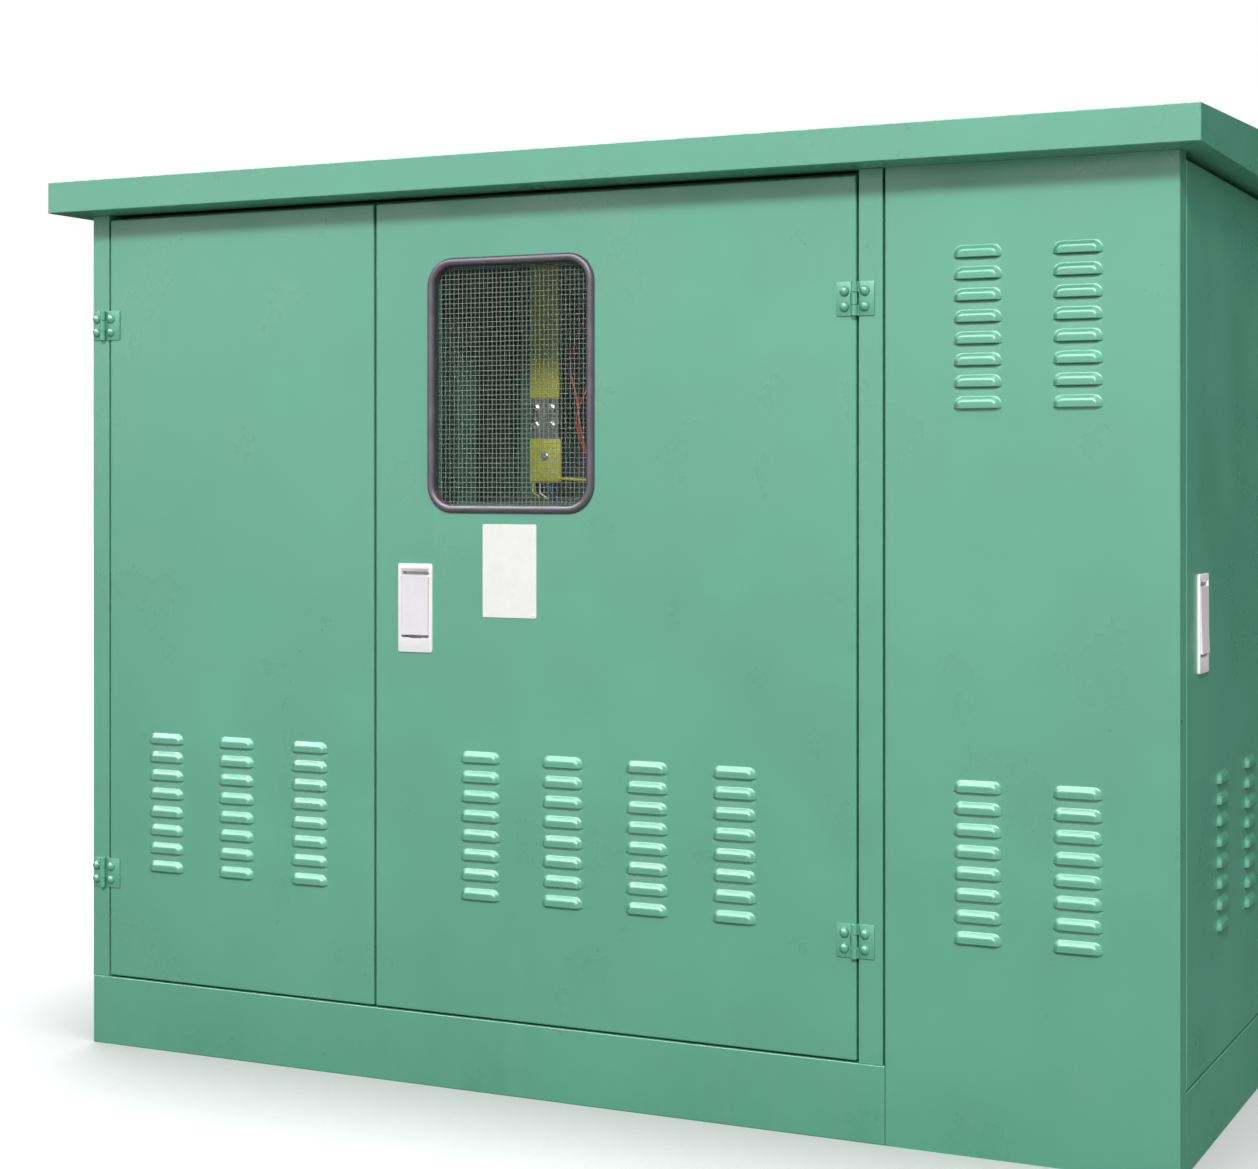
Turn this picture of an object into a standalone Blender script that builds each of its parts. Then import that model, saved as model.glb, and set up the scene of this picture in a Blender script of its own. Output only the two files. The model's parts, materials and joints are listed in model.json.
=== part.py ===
"""Pad-mounted transformer in a sheet-steel enclosure, built as separate pieces.

Metres, +Z up.  The origin is the middle of the footprint on the ground, the two
compartment doors face -Y, and the ventilated cooling section is at +X.
Left of the doors' split is the high-voltage (hv) compartment, right of it the
low-voltage (lv) one.  The oil tank stands behind both.
"""
import math

import bmesh
import bpy
from mathutils import Matrix, Vector

# ---- driving dimensions -------------------------------------------------------------
WIDTH = 2.300            # enclosure, outside the panels
DEPTH = 1.500
WALL_TOP = 1.7527        # top of the posts and panels, under the roof
GAP = 0.0003             # between pieces that touch
SHEET = 0.0025           # steel sheet of doors and panels
RETURN = 0.025           # folded edge of a door or panel
BASE_HEIGHT = 0.142
BASE_WIDTH = 0.090       # of the plinth's ring
POST_DEPTH = 0.050

ROOF_LOW = 1.753
FASCIA = 0.065
ROOF_RISE = 0.038        # ridge above the fascia's top
OVERHANG_SIDE = 0.053
OVERHANG_FRONT = 0.0835
ROOF_SHEET = 0.003

DOOR_LOW = 0.146
DOOR_HIGH = 1.743
STILE_RIGHT = -1.1085    # right face of the left post
HV_DOOR_X = (-1.1055, -0.4515)
LV_DOOR_X = (-0.4465, 0.5685)
MULLION_X = (0.5735, 0.6187)
PANEL_LEFT = 0.6225      # left edge of the fixed louvred panel
CORNER_RETURN = 0.047    # of that panel, round the corner
SIDE_DOOR_Y = (-0.698, 0.698)

LOUVRE_WIDTH = 0.088
LOUVRE_HEIGHT = 0.025
LOUVRE_DEPTH = 0.011
LOUVRE_PITCH = 0.0381
LOUVRE_ROWS = 8
LOUVRE_WALL = 0.0015
LOWER_ROWS = 0.374       # lower edge of the lowest louvre
UPPER_ROWS = 1.317

WINDOW_X = (-0.326, 0.041)      # outer edge of the rubber
WINDOW_Z = (1.128, 1.628)
RUBBER = 0.0165

HINGE_OUT = 0.007        # hinge axis in front of the surface
KNUCKLE = 0.006
PIN = 0.0027
PIN_BORE = 0.0034
HINGE_HEIGHT = 0.062
HINGE_LEAF = 0.003
HINGE_Z = (1.5195, 0.3625)
MIDDLE_KNUCKLE = 0.022
HV_HINGE_X = -1.120
LV_HINGE_X = 0.567
SIDE_HINGE_Y = 0.6965

HANDLE_SIZE = (0.077, 0.175)
LEVER_SIZE = (0.061, 0.119)
LEVER_UP = 0.034         # lower edge of the lever above the frame's
HANDLE_Z = 0.9405
LV_HANDLE_X = -0.354
SIDE_HANDLE_Y = -0.576
PLATE_X = (-0.202, -0.084)
PLATE_Z = (0.926, 1.107)

TANK_X = (-0.950, 0.550)
TANK_Y = (-0.120, 0.420)
TANK_Z = (0.1466, 1.300)
TANK_WALL = 0.006
PARTITION_X = -0.449

BUSHING_Z = 1.060
HV_BUSHING_X = (-0.850, -0.700, -0.550)
LV_BUSHING_X = (-0.140, 0.020, 0.180, 0.340)
SWITCH_X = -0.860
SWITCH_Z = 0.720
TAP_Z = 0.500
FUSE_X = (-0.700, -0.620, -0.540)
FUSE_Z = 0.620
FUSE_WELL = 0.0205
FUSE_BARREL = 0.0185
FUSE_IN = -0.010         # inner end of a fuse's barrel
GAUGE_X = 0.485
GAUGE_Z = 0.860
CORE_X = (-0.720, 0.320)
CORE_Y = 0.150
CORE_Z = (0.1530, 0.980)
CORE_LEG = 0.160
WINDING_OUT = 0.148
WINDING_IN = 0.117
FIN = 0.010              # thickness of a radiator's fin

BOARD_X = (-0.310, 0.420)
BOARD_Y = -0.400
BOARD_TOP = 1.645
BAR_X = (-0.238, -0.058, 0.122, 0.302)
BAR_WIDE = 0.066
BAR_Z = (1.186, 1.640)
MAIN_X = -0.058
MAIN_Z = 0.985
FEEDER_X = (-0.160, 0.050)
FEEDER_Z = 0.660
TOGGLE_DROP = 0.014      # a toggle's axis below the middle of its slot

FRONT = -DEPTH / 2
BACK = DEPTH / 2
LEFT = -WIDTH / 2
RIGHT = WIDTH / 2

HEADER_Y = (FRONT + 0.045, FRONT + 0.095)
HEADER_LOW = 1.660
HV_ENTRY = ((-0.980, -0.600, 0.130), (-0.530, -0.280, 0.160))
LV_ENTRY = ((-0.330, -0.630, 0.130), (0.450, -0.430, 0.160))
LEVER_EYE = 0.0035       # half the thickness of a handle's lever, round its axis
LEVER_AXIS_Y = -0.0030   # lever axis, in front of the door's face
ROD_WIDTH = 0.012
ROD_THICK = 0.008
ROD_TOP = 1.715
ROD_BOTTOM = 0.175

# left edges of the louvre columns on each face
HV_LOUVRES = (-1.003, -0.827, -0.648)
LV_LOUVRES = (-0.252, -0.072, 0.107, 0.286)
RIGHT_PANEL_LOUVRES = (0.751, 0.930)
SIDE_LOUVRES = (-0.452, -0.195, 0.062, 0.319)
REAR_LOUVRES = (-0.900, -0.420, 0.060, 0.540)

COLOURS = {                       # colour, roughness, metallic
    "enclosure_green": ((0.19, 0.44, 0.33), 0.45, 0.0),
    "plinth_green": ((0.17, 0.40, 0.30), 0.50, 0.0),
    "handle_white": ((0.80, 0.80, 0.78), 0.35, 0.0),
    "plate_white": ((0.82, 0.82, 0.80), 0.40, 0.0),
    "gasket_rubber": ((0.09, 0.08, 0.10), 0.75, 0.0),
    "window_glass": ((0.75, 0.85, 0.82), 0.05, 0.0),
    "zinc_steel": ((0.60, 0.61, 0.60), 0.38, 1.0),
    "tank_grey": ((0.33, 0.36, 0.36), 0.50, 0.0),
    "core_steel": ((0.30, 0.31, 0.33), 0.45, 1.0),
    "winding_paper": ((0.46, 0.27, 0.12), 0.80, 0.0),
    "porcelain": ((0.28, 0.12, 0.06), 0.18, 0.0),
    "breaker_plastic": ((0.05, 0.05, 0.06), 0.45, 0.0),
    "busbar_copper": ((0.72, 0.36, 0.20), 0.32, 1.0),
    "gauge_black": ((0.03, 0.03, 0.03), 0.40, 0.0),
    "handle_red": ((0.60, 0.05, 0.03), 0.40, 0.0),
}


# ---- helpers ------------------------------------------------------------------------
def clear_scene():
    for obj in list(bpy.data.objects):
        bpy.data.objects.remove(obj, do_unlink=True)


def new_collection(name):
    group = bpy.data.collections.new(name)
    bpy.context.scene.collection.children.link(group)
    return group


def material(name):
    """The named finish as a Principled material, made once."""
    mat = bpy.data.materials.get(name)
    if mat is None:
        colour, roughness, metallic = COLOURS[name]
        mat = bpy.data.materials.new(name)
        mat.use_nodes = True
        shader = mat.node_tree.nodes["Principled BSDF"]
        shader.inputs["Base Color"].default_value = (*colour, 1.0)
        shader.inputs["Roughness"].default_value = roughness
        shader.inputs["Metallic"].default_value = metallic
    return mat


def box_mesh(low, high, origin):
    bm = bmesh.new()
    bmesh.ops.create_cube(bm, size=1.0)
    size = Vector(high) - Vector(low)
    middle = (Vector(high) + Vector(low)) / 2 - Vector(origin)
    bmesh.ops.transform(bm, matrix=Matrix.Translation(middle) @ Matrix.Diagonal((*size, 1.0)), verts=bm.verts)
    return bm


def add_object(name, bm, origin, finish=None):
    """A mesh object from bm; a piece has a finish, a cutter has none."""
    mesh = bpy.data.meshes.new(name)
    bm.to_mesh(mesh)
    bm.free()
    obj = bpy.data.objects.new(name, mesh)
    obj.location = origin
    if finish is None:
        CUTTERS.objects.link(obj)
        obj.hide_render = True
        obj.display_type = "WIRE"
    else:
        PARTS.objects.link(obj)
        mesh.materials.append(material(finish))
    return obj


def box(name, low, high, finish=None, origin=None):
    if origin is None:
        origin = (Vector(low) + Vector(high)) / 2
    return add_object(name, box_mesh(low, high, origin), origin, finish)


def turn_matrix(axis):
    """Turns +Z onto the world axis named X, Y or Z."""
    if axis == "X":
        return Matrix.Rotation(math.pi / 2, 4, "Y")
    if axis == "Y":
        return Matrix.Rotation(math.pi / 2, 4, "X")
    return Matrix.Identity(4)


def round_bar(name, centre, axis, radius, length, finish=None, top=None, sides=16, origin=None):
    """A cylinder, or a cone frustum when top is given, centred at centre."""
    if origin is None:
        origin = centre
    bm = bmesh.new()
    bmesh.ops.create_cone(bm, cap_ends=True, segments=sides, radius1=radius,
                          radius2=radius if top is None else top, depth=length)
    move = Matrix.Translation(Vector(centre) - Vector(origin)) @ turn_matrix(axis)
    bmesh.ops.transform(bm, matrix=move, verts=bm.verts)
    return add_object(name, bm, origin, finish)


def boolean(obj, other, operation):
    mod = obj.modifiers.new(operation.lower() + "_" + other.name, "BOOLEAN")
    mod.operation = operation
    mod.solver = "EXACT"
    mod.object = other


def cut(obj, *cutters):
    for cutter in cutters:
        boolean(obj, cutter, "DIFFERENCE")


def join(obj, *others):
    for other in others:
        boolean(obj, other, "UNION")


def joined_boxes(name, spans):
    """One cutter or filler made of several boxes that don't touch."""
    bm = bmesh.new()
    for low, high in spans:
        piece = box_mesh(low, high, (0, 0, 0))
        mesh = bpy.data.meshes.new("span")
        piece.to_mesh(mesh)
        piece.free()
        bm.from_mesh(mesh)
        bpy.data.meshes.remove(mesh)
    return add_object(name, bm, (0, 0, 0))


def place_on_side(x, y):
    """From a door drawn facing -Y at the origin to one facing +X at (x, y)."""
    return Matrix.Translation((x, y, 0)) @ Matrix.Rotation(math.pi / 2, 4, "Z")


# ---- louvres ------------------------------------------------------------------------
def hood(bm, left, low, inset, front_skin, behind, below):
    """One pressed louvre: a box whose upper front edge is pushed back to the sheet."""
    right = left + LOUVRE_WIDTH
    top = low + LOUVRE_HEIGHT
    piece = box_mesh((left + inset, 0.0, low - below), (right - inset, 1.0, top - 2 * inset), (0, 0, 0))
    slope = (LOUVRE_DEPTH - 0.001) / LOUVRE_HEIGHT
    for vert in piece.verts:
        if vert.co.y > 0.5:
            vert.co.y = behind
        else:
            vert.co.y = front_skin - 0.001 - slope * (top - vert.co.z)
    mesh = bpy.data.meshes.new("hood")
    piece.to_mesh(mesh)
    piece.free()
    bm.from_mesh(mesh)
    bpy.data.meshes.remove(mesh)


def add_louvres(panel, lefts, lows, turn=None):
    """Louvres pressed out of a panel drawn facing -Y with its face at y = 0.

    turn places the finished rows on the panel, and the panel is joined to the
    outer hoods and then cut from behind by their hollows.
    """
    turn = turn or Matrix.Translation((0, FRONT, 0))
    outer, inner = bmesh.new(), bmesh.new()
    for left in lefts:
        for low in lows:
            for row in range(LOUVRE_ROWS):
                bottom = low + row * LOUVRE_PITCH
                hood(outer, left, bottom, 0.0, 0.0, SHEET / 2, 0.0)
                hood(inner, left, bottom, LOUVRE_WALL, LOUVRE_WALL, SHEET + 0.002, 0.001)
    for bm in (outer, inner):
        bmesh.ops.transform(bm, matrix=turn, verts=bm.verts)
    hoods = add_object(panel.name + "_hoods", outer, (0, 0, 0))
    hollows = add_object(panel.name + "_hollows", inner, (0, 0, 0))
    join(panel, hoods)
    cut(panel, hollows)


# ---- hinges -------------------------------------------------------------------------
def placed_box(name, low, high, matrix, finish=None):
    """A box drawn in a hinge's or a handle's own frame; its origin is that frame's."""
    low, high = [min(a, b) for a, b in zip(low, high)], [max(a, b) for a, b in zip(low, high)]
    bm = box_mesh(low, high, (0, 0, 0))
    bmesh.ops.transform(bm, matrix=Matrix.Translation(-matrix.translation) @ matrix, verts=bm.verts)
    return add_object(name, bm, matrix.translation, finish)


def placed_bar(name, radius, low, high, matrix, sides=16):
    """A round bar on the hinge's axis from low to high."""
    bm = bmesh.new()
    bmesh.ops.create_cone(bm, cap_ends=True, segments=sides, radius1=radius, radius2=radius, depth=high - low)
    bmesh.ops.translate(bm, vec=(0, 0, (low + high) / 2), verts=bm.verts)
    bmesh.ops.transform(bm, matrix=Matrix.Translation(-matrix.translation) @ matrix, verts=bm.verts)
    return add_object(name, bm, matrix.translation)


def add_hinge(door, name, side, frame_width, door_width, matrix):
    """A butt hinge: the frame's leaf with the pin is a piece, the door's leaf is welded on.

    side is +1 where the frame lies at the hinge frame's +X.
    """
    half = HINGE_HEIGHT / 2
    middle = MIDDLE_KNUCKLE / 2
    clear = 0.0005
    face = HINGE_OUT - GAP
    front = face - HINGE_LEAF
    frame = placed_box(name, (0, front, -half), (side * frame_width, face, half), matrix, "enclosure_green")
    notch = placed_box(name + "_notch", (-0.009, -0.02, -middle - clear),
                       (0.009, 0.02, middle + clear), matrix)
    join(frame, placed_bar(name + "_knuckle_low", KNUCKLE, -half, -middle - clear, matrix),
         placed_bar(name + "_knuckle_high", KNUCKLE, middle + clear, half, matrix))
    cut(frame, notch)
    join(frame, placed_bar(name + "_pin", PIN, -half + 0.002, half - 0.002, matrix, sides=12))
    near = KNUCKLE + 0.0008
    join(door, placed_box(name + "_door_leaf", (-side * near, front, -half),
                          (-side * door_width, face, half), matrix),
         placed_box(name + "_weld", (-side * (near + 0.010), face - 0.001, -half + 0.001),
                    (-side * (door_width - 0.001), HINGE_OUT + SHEET / 2, half - 0.001), matrix),
         placed_box(name + "_tongue", (0, front, -middle), (-side * (near + 0.004), face, middle), matrix),
         placed_bar(name + "_door_knuckle", KNUCKLE, -middle, middle, matrix))
    cut(door, placed_bar(name + "_bore", PIN_BORE, -HINGE_HEIGHT / 2, HINGE_HEIGHT / 2, matrix, sides=12))


# ---- enclosure ----------------------------------------------------------------------
def folded_sheet(name, low, high, open_side, finish="enclosure_green"):
    """A door or panel: a face sheet with edges folded back, open on open_side.

    open_side is the axis and the sign of the open face, such as ("Y", 1).
    """
    axis = "XYZ".index(open_side[0])
    panel = box(name, low, high, finish)
    inner_low = [value + SHEET for value in low]
    inner_high = [value - SHEET for value in high]
    if open_side[1] > 0:
        inner_high[axis] = high[axis] + SHEET
    else:
        inner_low[axis] = low[axis] - SHEET
    cut(panel, box(name + "_inside", inner_low, inner_high))
    return panel


def make_frame():
    base = box("base_frame", (LEFT, FRONT, 0), (RIGHT, BACK, BASE_HEIGHT), "plinth_green")
    cut(base, box("base_opening", (LEFT + BASE_WIDTH, FRONT + BASE_WIDTH, -0.01),
                  (RIGHT - BASE_WIDTH, BACK - BASE_WIDTH, BASE_HEIGHT + 0.01)),
        box("base_corner_notch", (PANEL_LEFT - GAP, FRONT - 0.01, -0.01),
            (RIGHT + 0.01, FRONT + CORNER_RETURN + GAP, BASE_HEIGHT + 0.01)))
    low = BASE_HEIGHT + GAP
    floor = box("floor_plate", (LEFT + 0.043, FRONT + 0.055, low),
                (RIGHT - 0.043, BACK - 0.055, low + 0.004), "zinc_steel")
    cut(floor, box("floor_hv_entry", *HV_ENTRY), box("floor_lv_entry", *LV_ENTRY))

    post_y = (FRONT, FRONT + POST_DEPTH)
    for name, x_low, x_high in (("post_front_left", LEFT, STILE_RIGHT), ("post_mullion", *MULLION_X)):
        post = box(name, (x_low, post_y[0], low), (x_high, post_y[1], WALL_TOP), "enclosure_green")
        cut(post, box(name + "_hollow", (x_low + SHEET, post_y[0] + SHEET, low - 0.01),
                      (x_high - SHEET, post_y[1] - SHEET, WALL_TOP + 0.01)))
    rear = box("post_rear_right", (RIGHT - POST_DEPTH, BACK - CORNER_RETURN, low),
               (RIGHT, BACK, WALL_TOP), "enclosure_green")
    cut(rear, box("post_rear_hollow", (RIGHT - POST_DEPTH + SHEET, BACK - CORNER_RETURN + SHEET, low - 0.01),
                  (RIGHT - SHEET, BACK - SHEET, WALL_TOP + 0.01)))

    header = box("header_front", (STILE_RIGHT + GAP, HEADER_Y[0], HEADER_LOW),
                 (MULLION_X[0] - GAP, HEADER_Y[1], WALL_TOP), "enclosure_green")
    cut(header, box("header_hollow", (STILE_RIGHT - 0.01, HEADER_Y[0] + SHEET, HEADER_LOW + SHEET),
                    (MULLION_X[0] + 0.01, HEADER_Y[1] + 0.01, WALL_TOP - SHEET)))


def make_panels():
    corner = box("front_louvre_panel", (PANEL_LEFT, FRONT, 0),
                 (RIGHT, FRONT + CORNER_RETURN, WALL_TOP), "enclosure_green")
    cut(corner, box("front_panel_inside", (PANEL_LEFT + SHEET, FRONT + SHEET, -0.01),
                    (RIGHT - SHEET, FRONT + CORNER_RETURN + 0.01, WALL_TOP + 0.01)))
    add_louvres(corner, RIGHT_PANEL_LOUVRES, (LOWER_ROWS, UPPER_ROWS))

    left = folded_sheet("left_side_panel", (LEFT, FRONT + POST_DEPTH + GAP, BASE_HEIGHT + GAP),
                        (LEFT + RETURN, BACK - RETURN - GAP, WALL_TOP), ("X", 1))
    turned = Matrix.Translation((LEFT, 0, 0)) @ Matrix.Rotation(-math.pi / 2, 4, "Z")
    add_louvres(left, SIDE_LOUVRES, (LOWER_ROWS,), turned)

    rear = folded_sheet("rear_panel", (LEFT, BACK - RETURN, BASE_HEIGHT + GAP),
                        (RIGHT - POST_DEPTH - GAP, BACK, WALL_TOP), ("Y", -1))
    turned = Matrix.Translation((0, BACK, 0)) @ Matrix.Rotation(math.pi, 4, "Z")
    add_louvres(rear, REAR_LOUVRES, (LOWER_ROWS,), turned)


def gable(name, side_reach, front_reach, low, eaves, ridge, finish=None):
    """A prism with a shallow ridge along X over a rectangle centred on the origin."""
    bm = bmesh.new()
    bmesh.ops.create_cube(bm, size=1.0)
    for vert in bm.verts:
        vert.co = (2 * side_reach * vert.co.x, 2 * front_reach * vert.co.y, eaves if vert.co.z > 0 else low)
    bmesh.ops.bisect_plane(bm, geom=bm.verts[:] + bm.edges[:] + bm.faces[:],
                           plane_co=(0, 0, 0), plane_no=(0, 1, 0))
    for vert in bm.verts:
        if abs(vert.co.y) < 0.001 and vert.co.z > low + 0.001:
            vert.co.z = ridge
    return add_object(name, bm, (0, 0, 0), finish)


def make_roof():
    side, front = RIGHT + OVERHANG_SIDE, BACK + OVERHANG_FRONT
    eaves = ROOF_LOW + FASCIA
    roof = gable("roof", side, front, ROOF_LOW, eaves, eaves + ROOF_RISE, "enclosure_green")
    hollow = gable("roof_hollow", side - ROOF_SHEET, front - ROOF_SHEET, ROOF_LOW + ROOF_SHEET,
                   eaves - ROOF_SHEET, eaves + ROOF_RISE - ROOF_SHEET)
    mouth = box("roof_mouth", (LEFT + 0.02, FRONT + 0.02, ROOF_LOW - 0.01),
                (RIGHT - 0.02, BACK - 0.02, ROOF_LOW + 2 * ROOF_SHEET))
    cut(roof, hollow, mouth)


# ---- doors --------------------------------------------------------------------------
def make_handle(prefix, door, matrix):
    """A flush lift handle: a frame with a dish sunk in the door, and its lever."""
    wide, tall = HANDLE_SIZE[0] / 2, HANDLE_SIZE[1] / 2
    lip = 0.0042
    dish = 0.016
    lever_low = LEVER_UP - tall
    dish_wide, dish_low, dish_high = wide - 0.0045, lever_low - 0.0105, tall - 0.006
    frame = placed_box(prefix + "_handle_frame", (-wide, -lip - GAP, -tall),
                       (wide, -GAP, tall), matrix, "handle_white")
    join(frame, placed_box(prefix + "_dish", (-dish_wide, -lip, dish_low),
                           (dish_wide, dish, dish_high), matrix))
    cut(frame, placed_box(prefix + "_dish_hollow", (-dish_wide + 0.0025, -0.02, dish_low + 0.004),
                          (dish_wide - 0.0025, dish - 0.002, dish_high - 0.004), matrix))
    clear = 0.0005
    cut(door, placed_box(prefix + "_handle_hole", (-dish_wide - clear, -0.01, dish_low - clear),
                         (dish_wide + clear, RETURN - 0.004, dish_high + clear), matrix))
    axis = matrix @ Matrix.Translation((0, LEVER_AXIS_Y, lever_low + LEVER_SIZE[1] - LEVER_EYE))
    half = LEVER_SIZE[0] / 2
    thick = LEVER_EYE
    lever = placed_box(prefix + "_handle_lever", (-half, -thick, -LEVER_SIZE[1] + LEVER_EYE),
                       (half, thick, LEVER_EYE), axis, "handle_white")
    cut(lever, placed_box(prefix + "_finger_notch", (-0.014, -0.02, -LEVER_SIZE[1]),
                          (0.014, 0.0, -LEVER_SIZE[1] + LEVER_EYE + 0.008), axis))


def make_rod(name, x, y, low, high):
    half_x, half_y = ROD_WIDTH / 2, ROD_THICK / 2
    return box(name, (x - half_x, y - half_y, low), (x + half_x, y + half_y, high), "zinc_steel")


def make_hv_door():
    door = folded_sheet("hv_door", (HV_DOOR_X[0], FRONT, DOOR_LOW),
                        (HV_DOOR_X[1], FRONT + RETURN, DOOR_HIGH), ("Y", 1))
    add_louvres(door, HV_LOUVRES, (LOWER_ROWS,))
    for name, z in zip(("upper", "lower"), HINGE_Z):
        place = Matrix.Translation((HV_HINGE_X, FRONT - HINGE_OUT, z))
        add_hinge(door, "hinge_hv_" + name, -1, 0.027, 0.041, place)


def make_lv_door():
    door = folded_sheet("lv_door", (LV_DOOR_X[0], FRONT, DOOR_LOW),
                        (LV_DOOR_X[1], FRONT + RETURN, DOOR_HIGH), ("Y", 1))
    add_louvres(door, LV_LOUVRES, (LOWER_ROWS,))
    for name, z in zip(("upper", "lower"), HINGE_Z):
        place = Matrix.Translation((LV_HINGE_X, FRONT - HINGE_OUT, z))
        add_hinge(door, "hinge_lv_" + name, 1, 0.040, 0.037, place)
    make_handle("lv", door, Matrix.Translation((LV_HANDLE_X, FRONT, HANDLE_Z)))
    rod_y = FRONT + RETURN + 0.002 + ROD_THICK / 2
    make_rod("lv_rod_top", LV_HANDLE_X, rod_y, HANDLE_Z + 0.10, ROD_TOP)
    make_rod("lv_rod_bottom", LV_HANDLE_X, rod_y, ROD_BOTTOM, HANDLE_Z - 0.10)

    neck = 0.0085
    cut(door, box("window_hole", (WINDOW_X[0] + neck - 0.0005, FRONT - 0.01, WINDOW_Z[0] + neck - 0.0005),
                  (WINDOW_X[1] - neck + 0.0005, FRONT + 0.02, WINDOW_Z[1] - neck + 0.0005)))
    gasket = box("window_gasket", (WINDOW_X[0], FRONT - 0.0050, WINDOW_Z[0]),
                 (WINDOW_X[1], FRONT - GAP, WINDOW_Z[1]), "gasket_rubber")
    join(gasket, box("gasket_neck", (WINDOW_X[0] + neck, FRONT - 0.003, WINDOW_Z[0] + neck),
                     (WINDOW_X[1] - neck, FRONT + 0.012, WINDOW_Z[1] - neck)))
    cut(gasket, box("gasket_opening", (WINDOW_X[0] + RUBBER, FRONT - 0.01, WINDOW_Z[0] + RUBBER),
                    (WINDOW_X[1] - RUBBER, FRONT + 0.02, WINDOW_Z[1] - RUBBER)))
    edge = RUBBER + GAP
    box("window_glass", (WINDOW_X[0] + edge, FRONT + 0.001, WINDOW_Z[0] + edge),
        (WINDOW_X[1] - edge, FRONT + 0.005, WINDOW_Z[1] - edge), "window_glass")
    box("window_mesh", (WINDOW_X[0] + neck, FRONT + 0.0140, WINDOW_Z[0] + neck),
        (WINDOW_X[1] - neck, FRONT + 0.0165, WINDOW_Z[1] - neck), "zinc_steel")
    box("nameplate", (PLATE_X[0], FRONT - 0.0018, PLATE_Z[0]),
        (PLATE_X[1], FRONT - GAP, PLATE_Z[1]), "plate_white")


def make_side_door():
    door = folded_sheet("side_door", (RIGHT - RETURN, SIDE_DOOR_Y[0], DOOR_LOW),
                        (RIGHT, SIDE_DOOR_Y[1], DOOR_HIGH), ("X", -1))
    add_louvres(door, SIDE_LOUVRES, (LOWER_ROWS,), place_on_side(RIGHT, 0))
    for name, z in zip(("upper", "lower"), HINGE_Z):
        place = Matrix.Translation((RIGHT + HINGE_OUT, SIDE_HINGE_Y, z)) @ Matrix.Rotation(math.pi / 2, 4, "Z")
        add_hinge(door, "hinge_side_" + name, 1, 0.040, 0.037, place)
    make_handle("side", door, Matrix.Translation((0, 0, HANDLE_Z)) @ place_on_side(RIGHT, SIDE_HANDLE_Y))


# ---- tank and what it holds -----------------------------------------------------------
def make_tank():
    low = (TANK_X[0], TANK_Y[0], TANK_Z[0])
    high = (TANK_X[1], TANK_Y[1], TANK_Z[1])
    tank = box("transformer_tank", low, high, "tank_grey")
    cut(tank, box("tank_inside", [v + TANK_WALL for v in low],
                  (high[0] - TANK_WALL, high[1] - TANK_WALL, high[2] + 0.01)))
    wells = [round_bar("fuse_well_%d" % (n + 1), (x, TANK_Y[0], FUSE_Z), "Y", FUSE_WELL, 0.04)
             for n, x in enumerate(FUSE_X)]
    cut(tank, *wells)
    rim = 0.020
    box("tank_cover", (TANK_X[0] - rim, TANK_Y[0] - rim, TANK_Z[1] + GAP),
        (TANK_X[1] + rim, TANK_Y[1] + rim, TANK_Z[1] + 0.010), "tank_grey")

    core = box("iron_core", (CORE_X[0], CORE_Y - CORE_LEG / 2, CORE_Z[0]),
               (CORE_X[1], CORE_Y + CORE_LEG / 2, CORE_Z[1]), "core_steel")
    span = (CORE_X[1] - CORE_X[0] - CORE_LEG) / 2
    for index in range(2):
        left = CORE_X[0] + CORE_LEG + index * span
        cut(core, box("core_window_%d" % (index + 1), (left, CORE_Y - CORE_LEG, CORE_Z[0] + CORE_LEG),
                      (left + span - CORE_LEG, CORE_Y + CORE_LEG, CORE_Z[1] - CORE_LEG)))
    for index in range(3):
        x = CORE_X[0] + CORE_LEG / 2 + index * span
        height = CORE_Z[1] - CORE_Z[0] - 2 * CORE_LEG - 0.02
        centre = (x, CORE_Y, (CORE_Z[0] + CORE_Z[1]) / 2)
        winding = round_bar("winding_%d" % (index + 1), centre, "Z", WINDING_OUT, height,
                            "winding_paper", sides=24)
        cut(winding, round_bar("winding_bore_%d" % (index + 1), centre, "Z", WINDING_IN,
                               height + 0.1, sides=24))


def make_radiator(name, pipe_axis, low, high, count, wall):
    """Flat fins on two header pipes that run across them, with a stub to the tank's wall.

    wall is the tank's outer face that the stubs stand off.
    """
    pipe_low, pipe_high = low[2] + 0.100, high[2] - 0.100
    across = "XYZ".index(pipe_axis)
    middle = [(a + b) / 2 for a, b in zip(low, high)]
    length = high[across] - low[across]
    radiator = round_bar(name, (*middle[:2], pipe_low), pipe_axis, 0.022, length, "tank_grey", sides=8)
    join(radiator, round_bar(name + "_upper_pipe", (*middle[:2], pipe_high), pipe_axis, 0.022,
                             length, sides=8))
    spans = []
    for index in range(count):
        at = low[across] + (index + 0.5) * length / count
        fin_low, fin_high = list(low), list(high)
        fin_low[across], fin_high[across] = at - FIN / 2, at + FIN / 2
        spans.append((fin_low, fin_high))
    join(radiator, joined_boxes(name + "_fins", spans))
    stub_axis = "Y" if pipe_axis == "X" else "X"
    along = "XYZ".index(stub_axis)
    for label, z in (("low", pipe_low), ("high", pipe_high)):
        centre = [*middle[:2], z]
        centre[along] = (wall + GAP + middle[along]) / 2
        join(radiator, round_bar("%s_stub_%s" % (name, label), centre, stub_axis, 0.024,
                                 middle[along] - wall - GAP, sides=8))


def make_radiators():
    make_radiator("radiator_rear", "X", (TANK_X[0] + 0.06, 0.450, 0.320),
                  (TANK_X[1] - 0.06, 0.690, 1.180), 10, TANK_Y[1])
    make_radiator("radiator_right", "Y", (0.590, TANK_Y[0] + 0.03, 0.320),
                  (0.860, TANK_Y[1] - 0.03, 1.180), 5, TANK_X[1])


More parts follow.
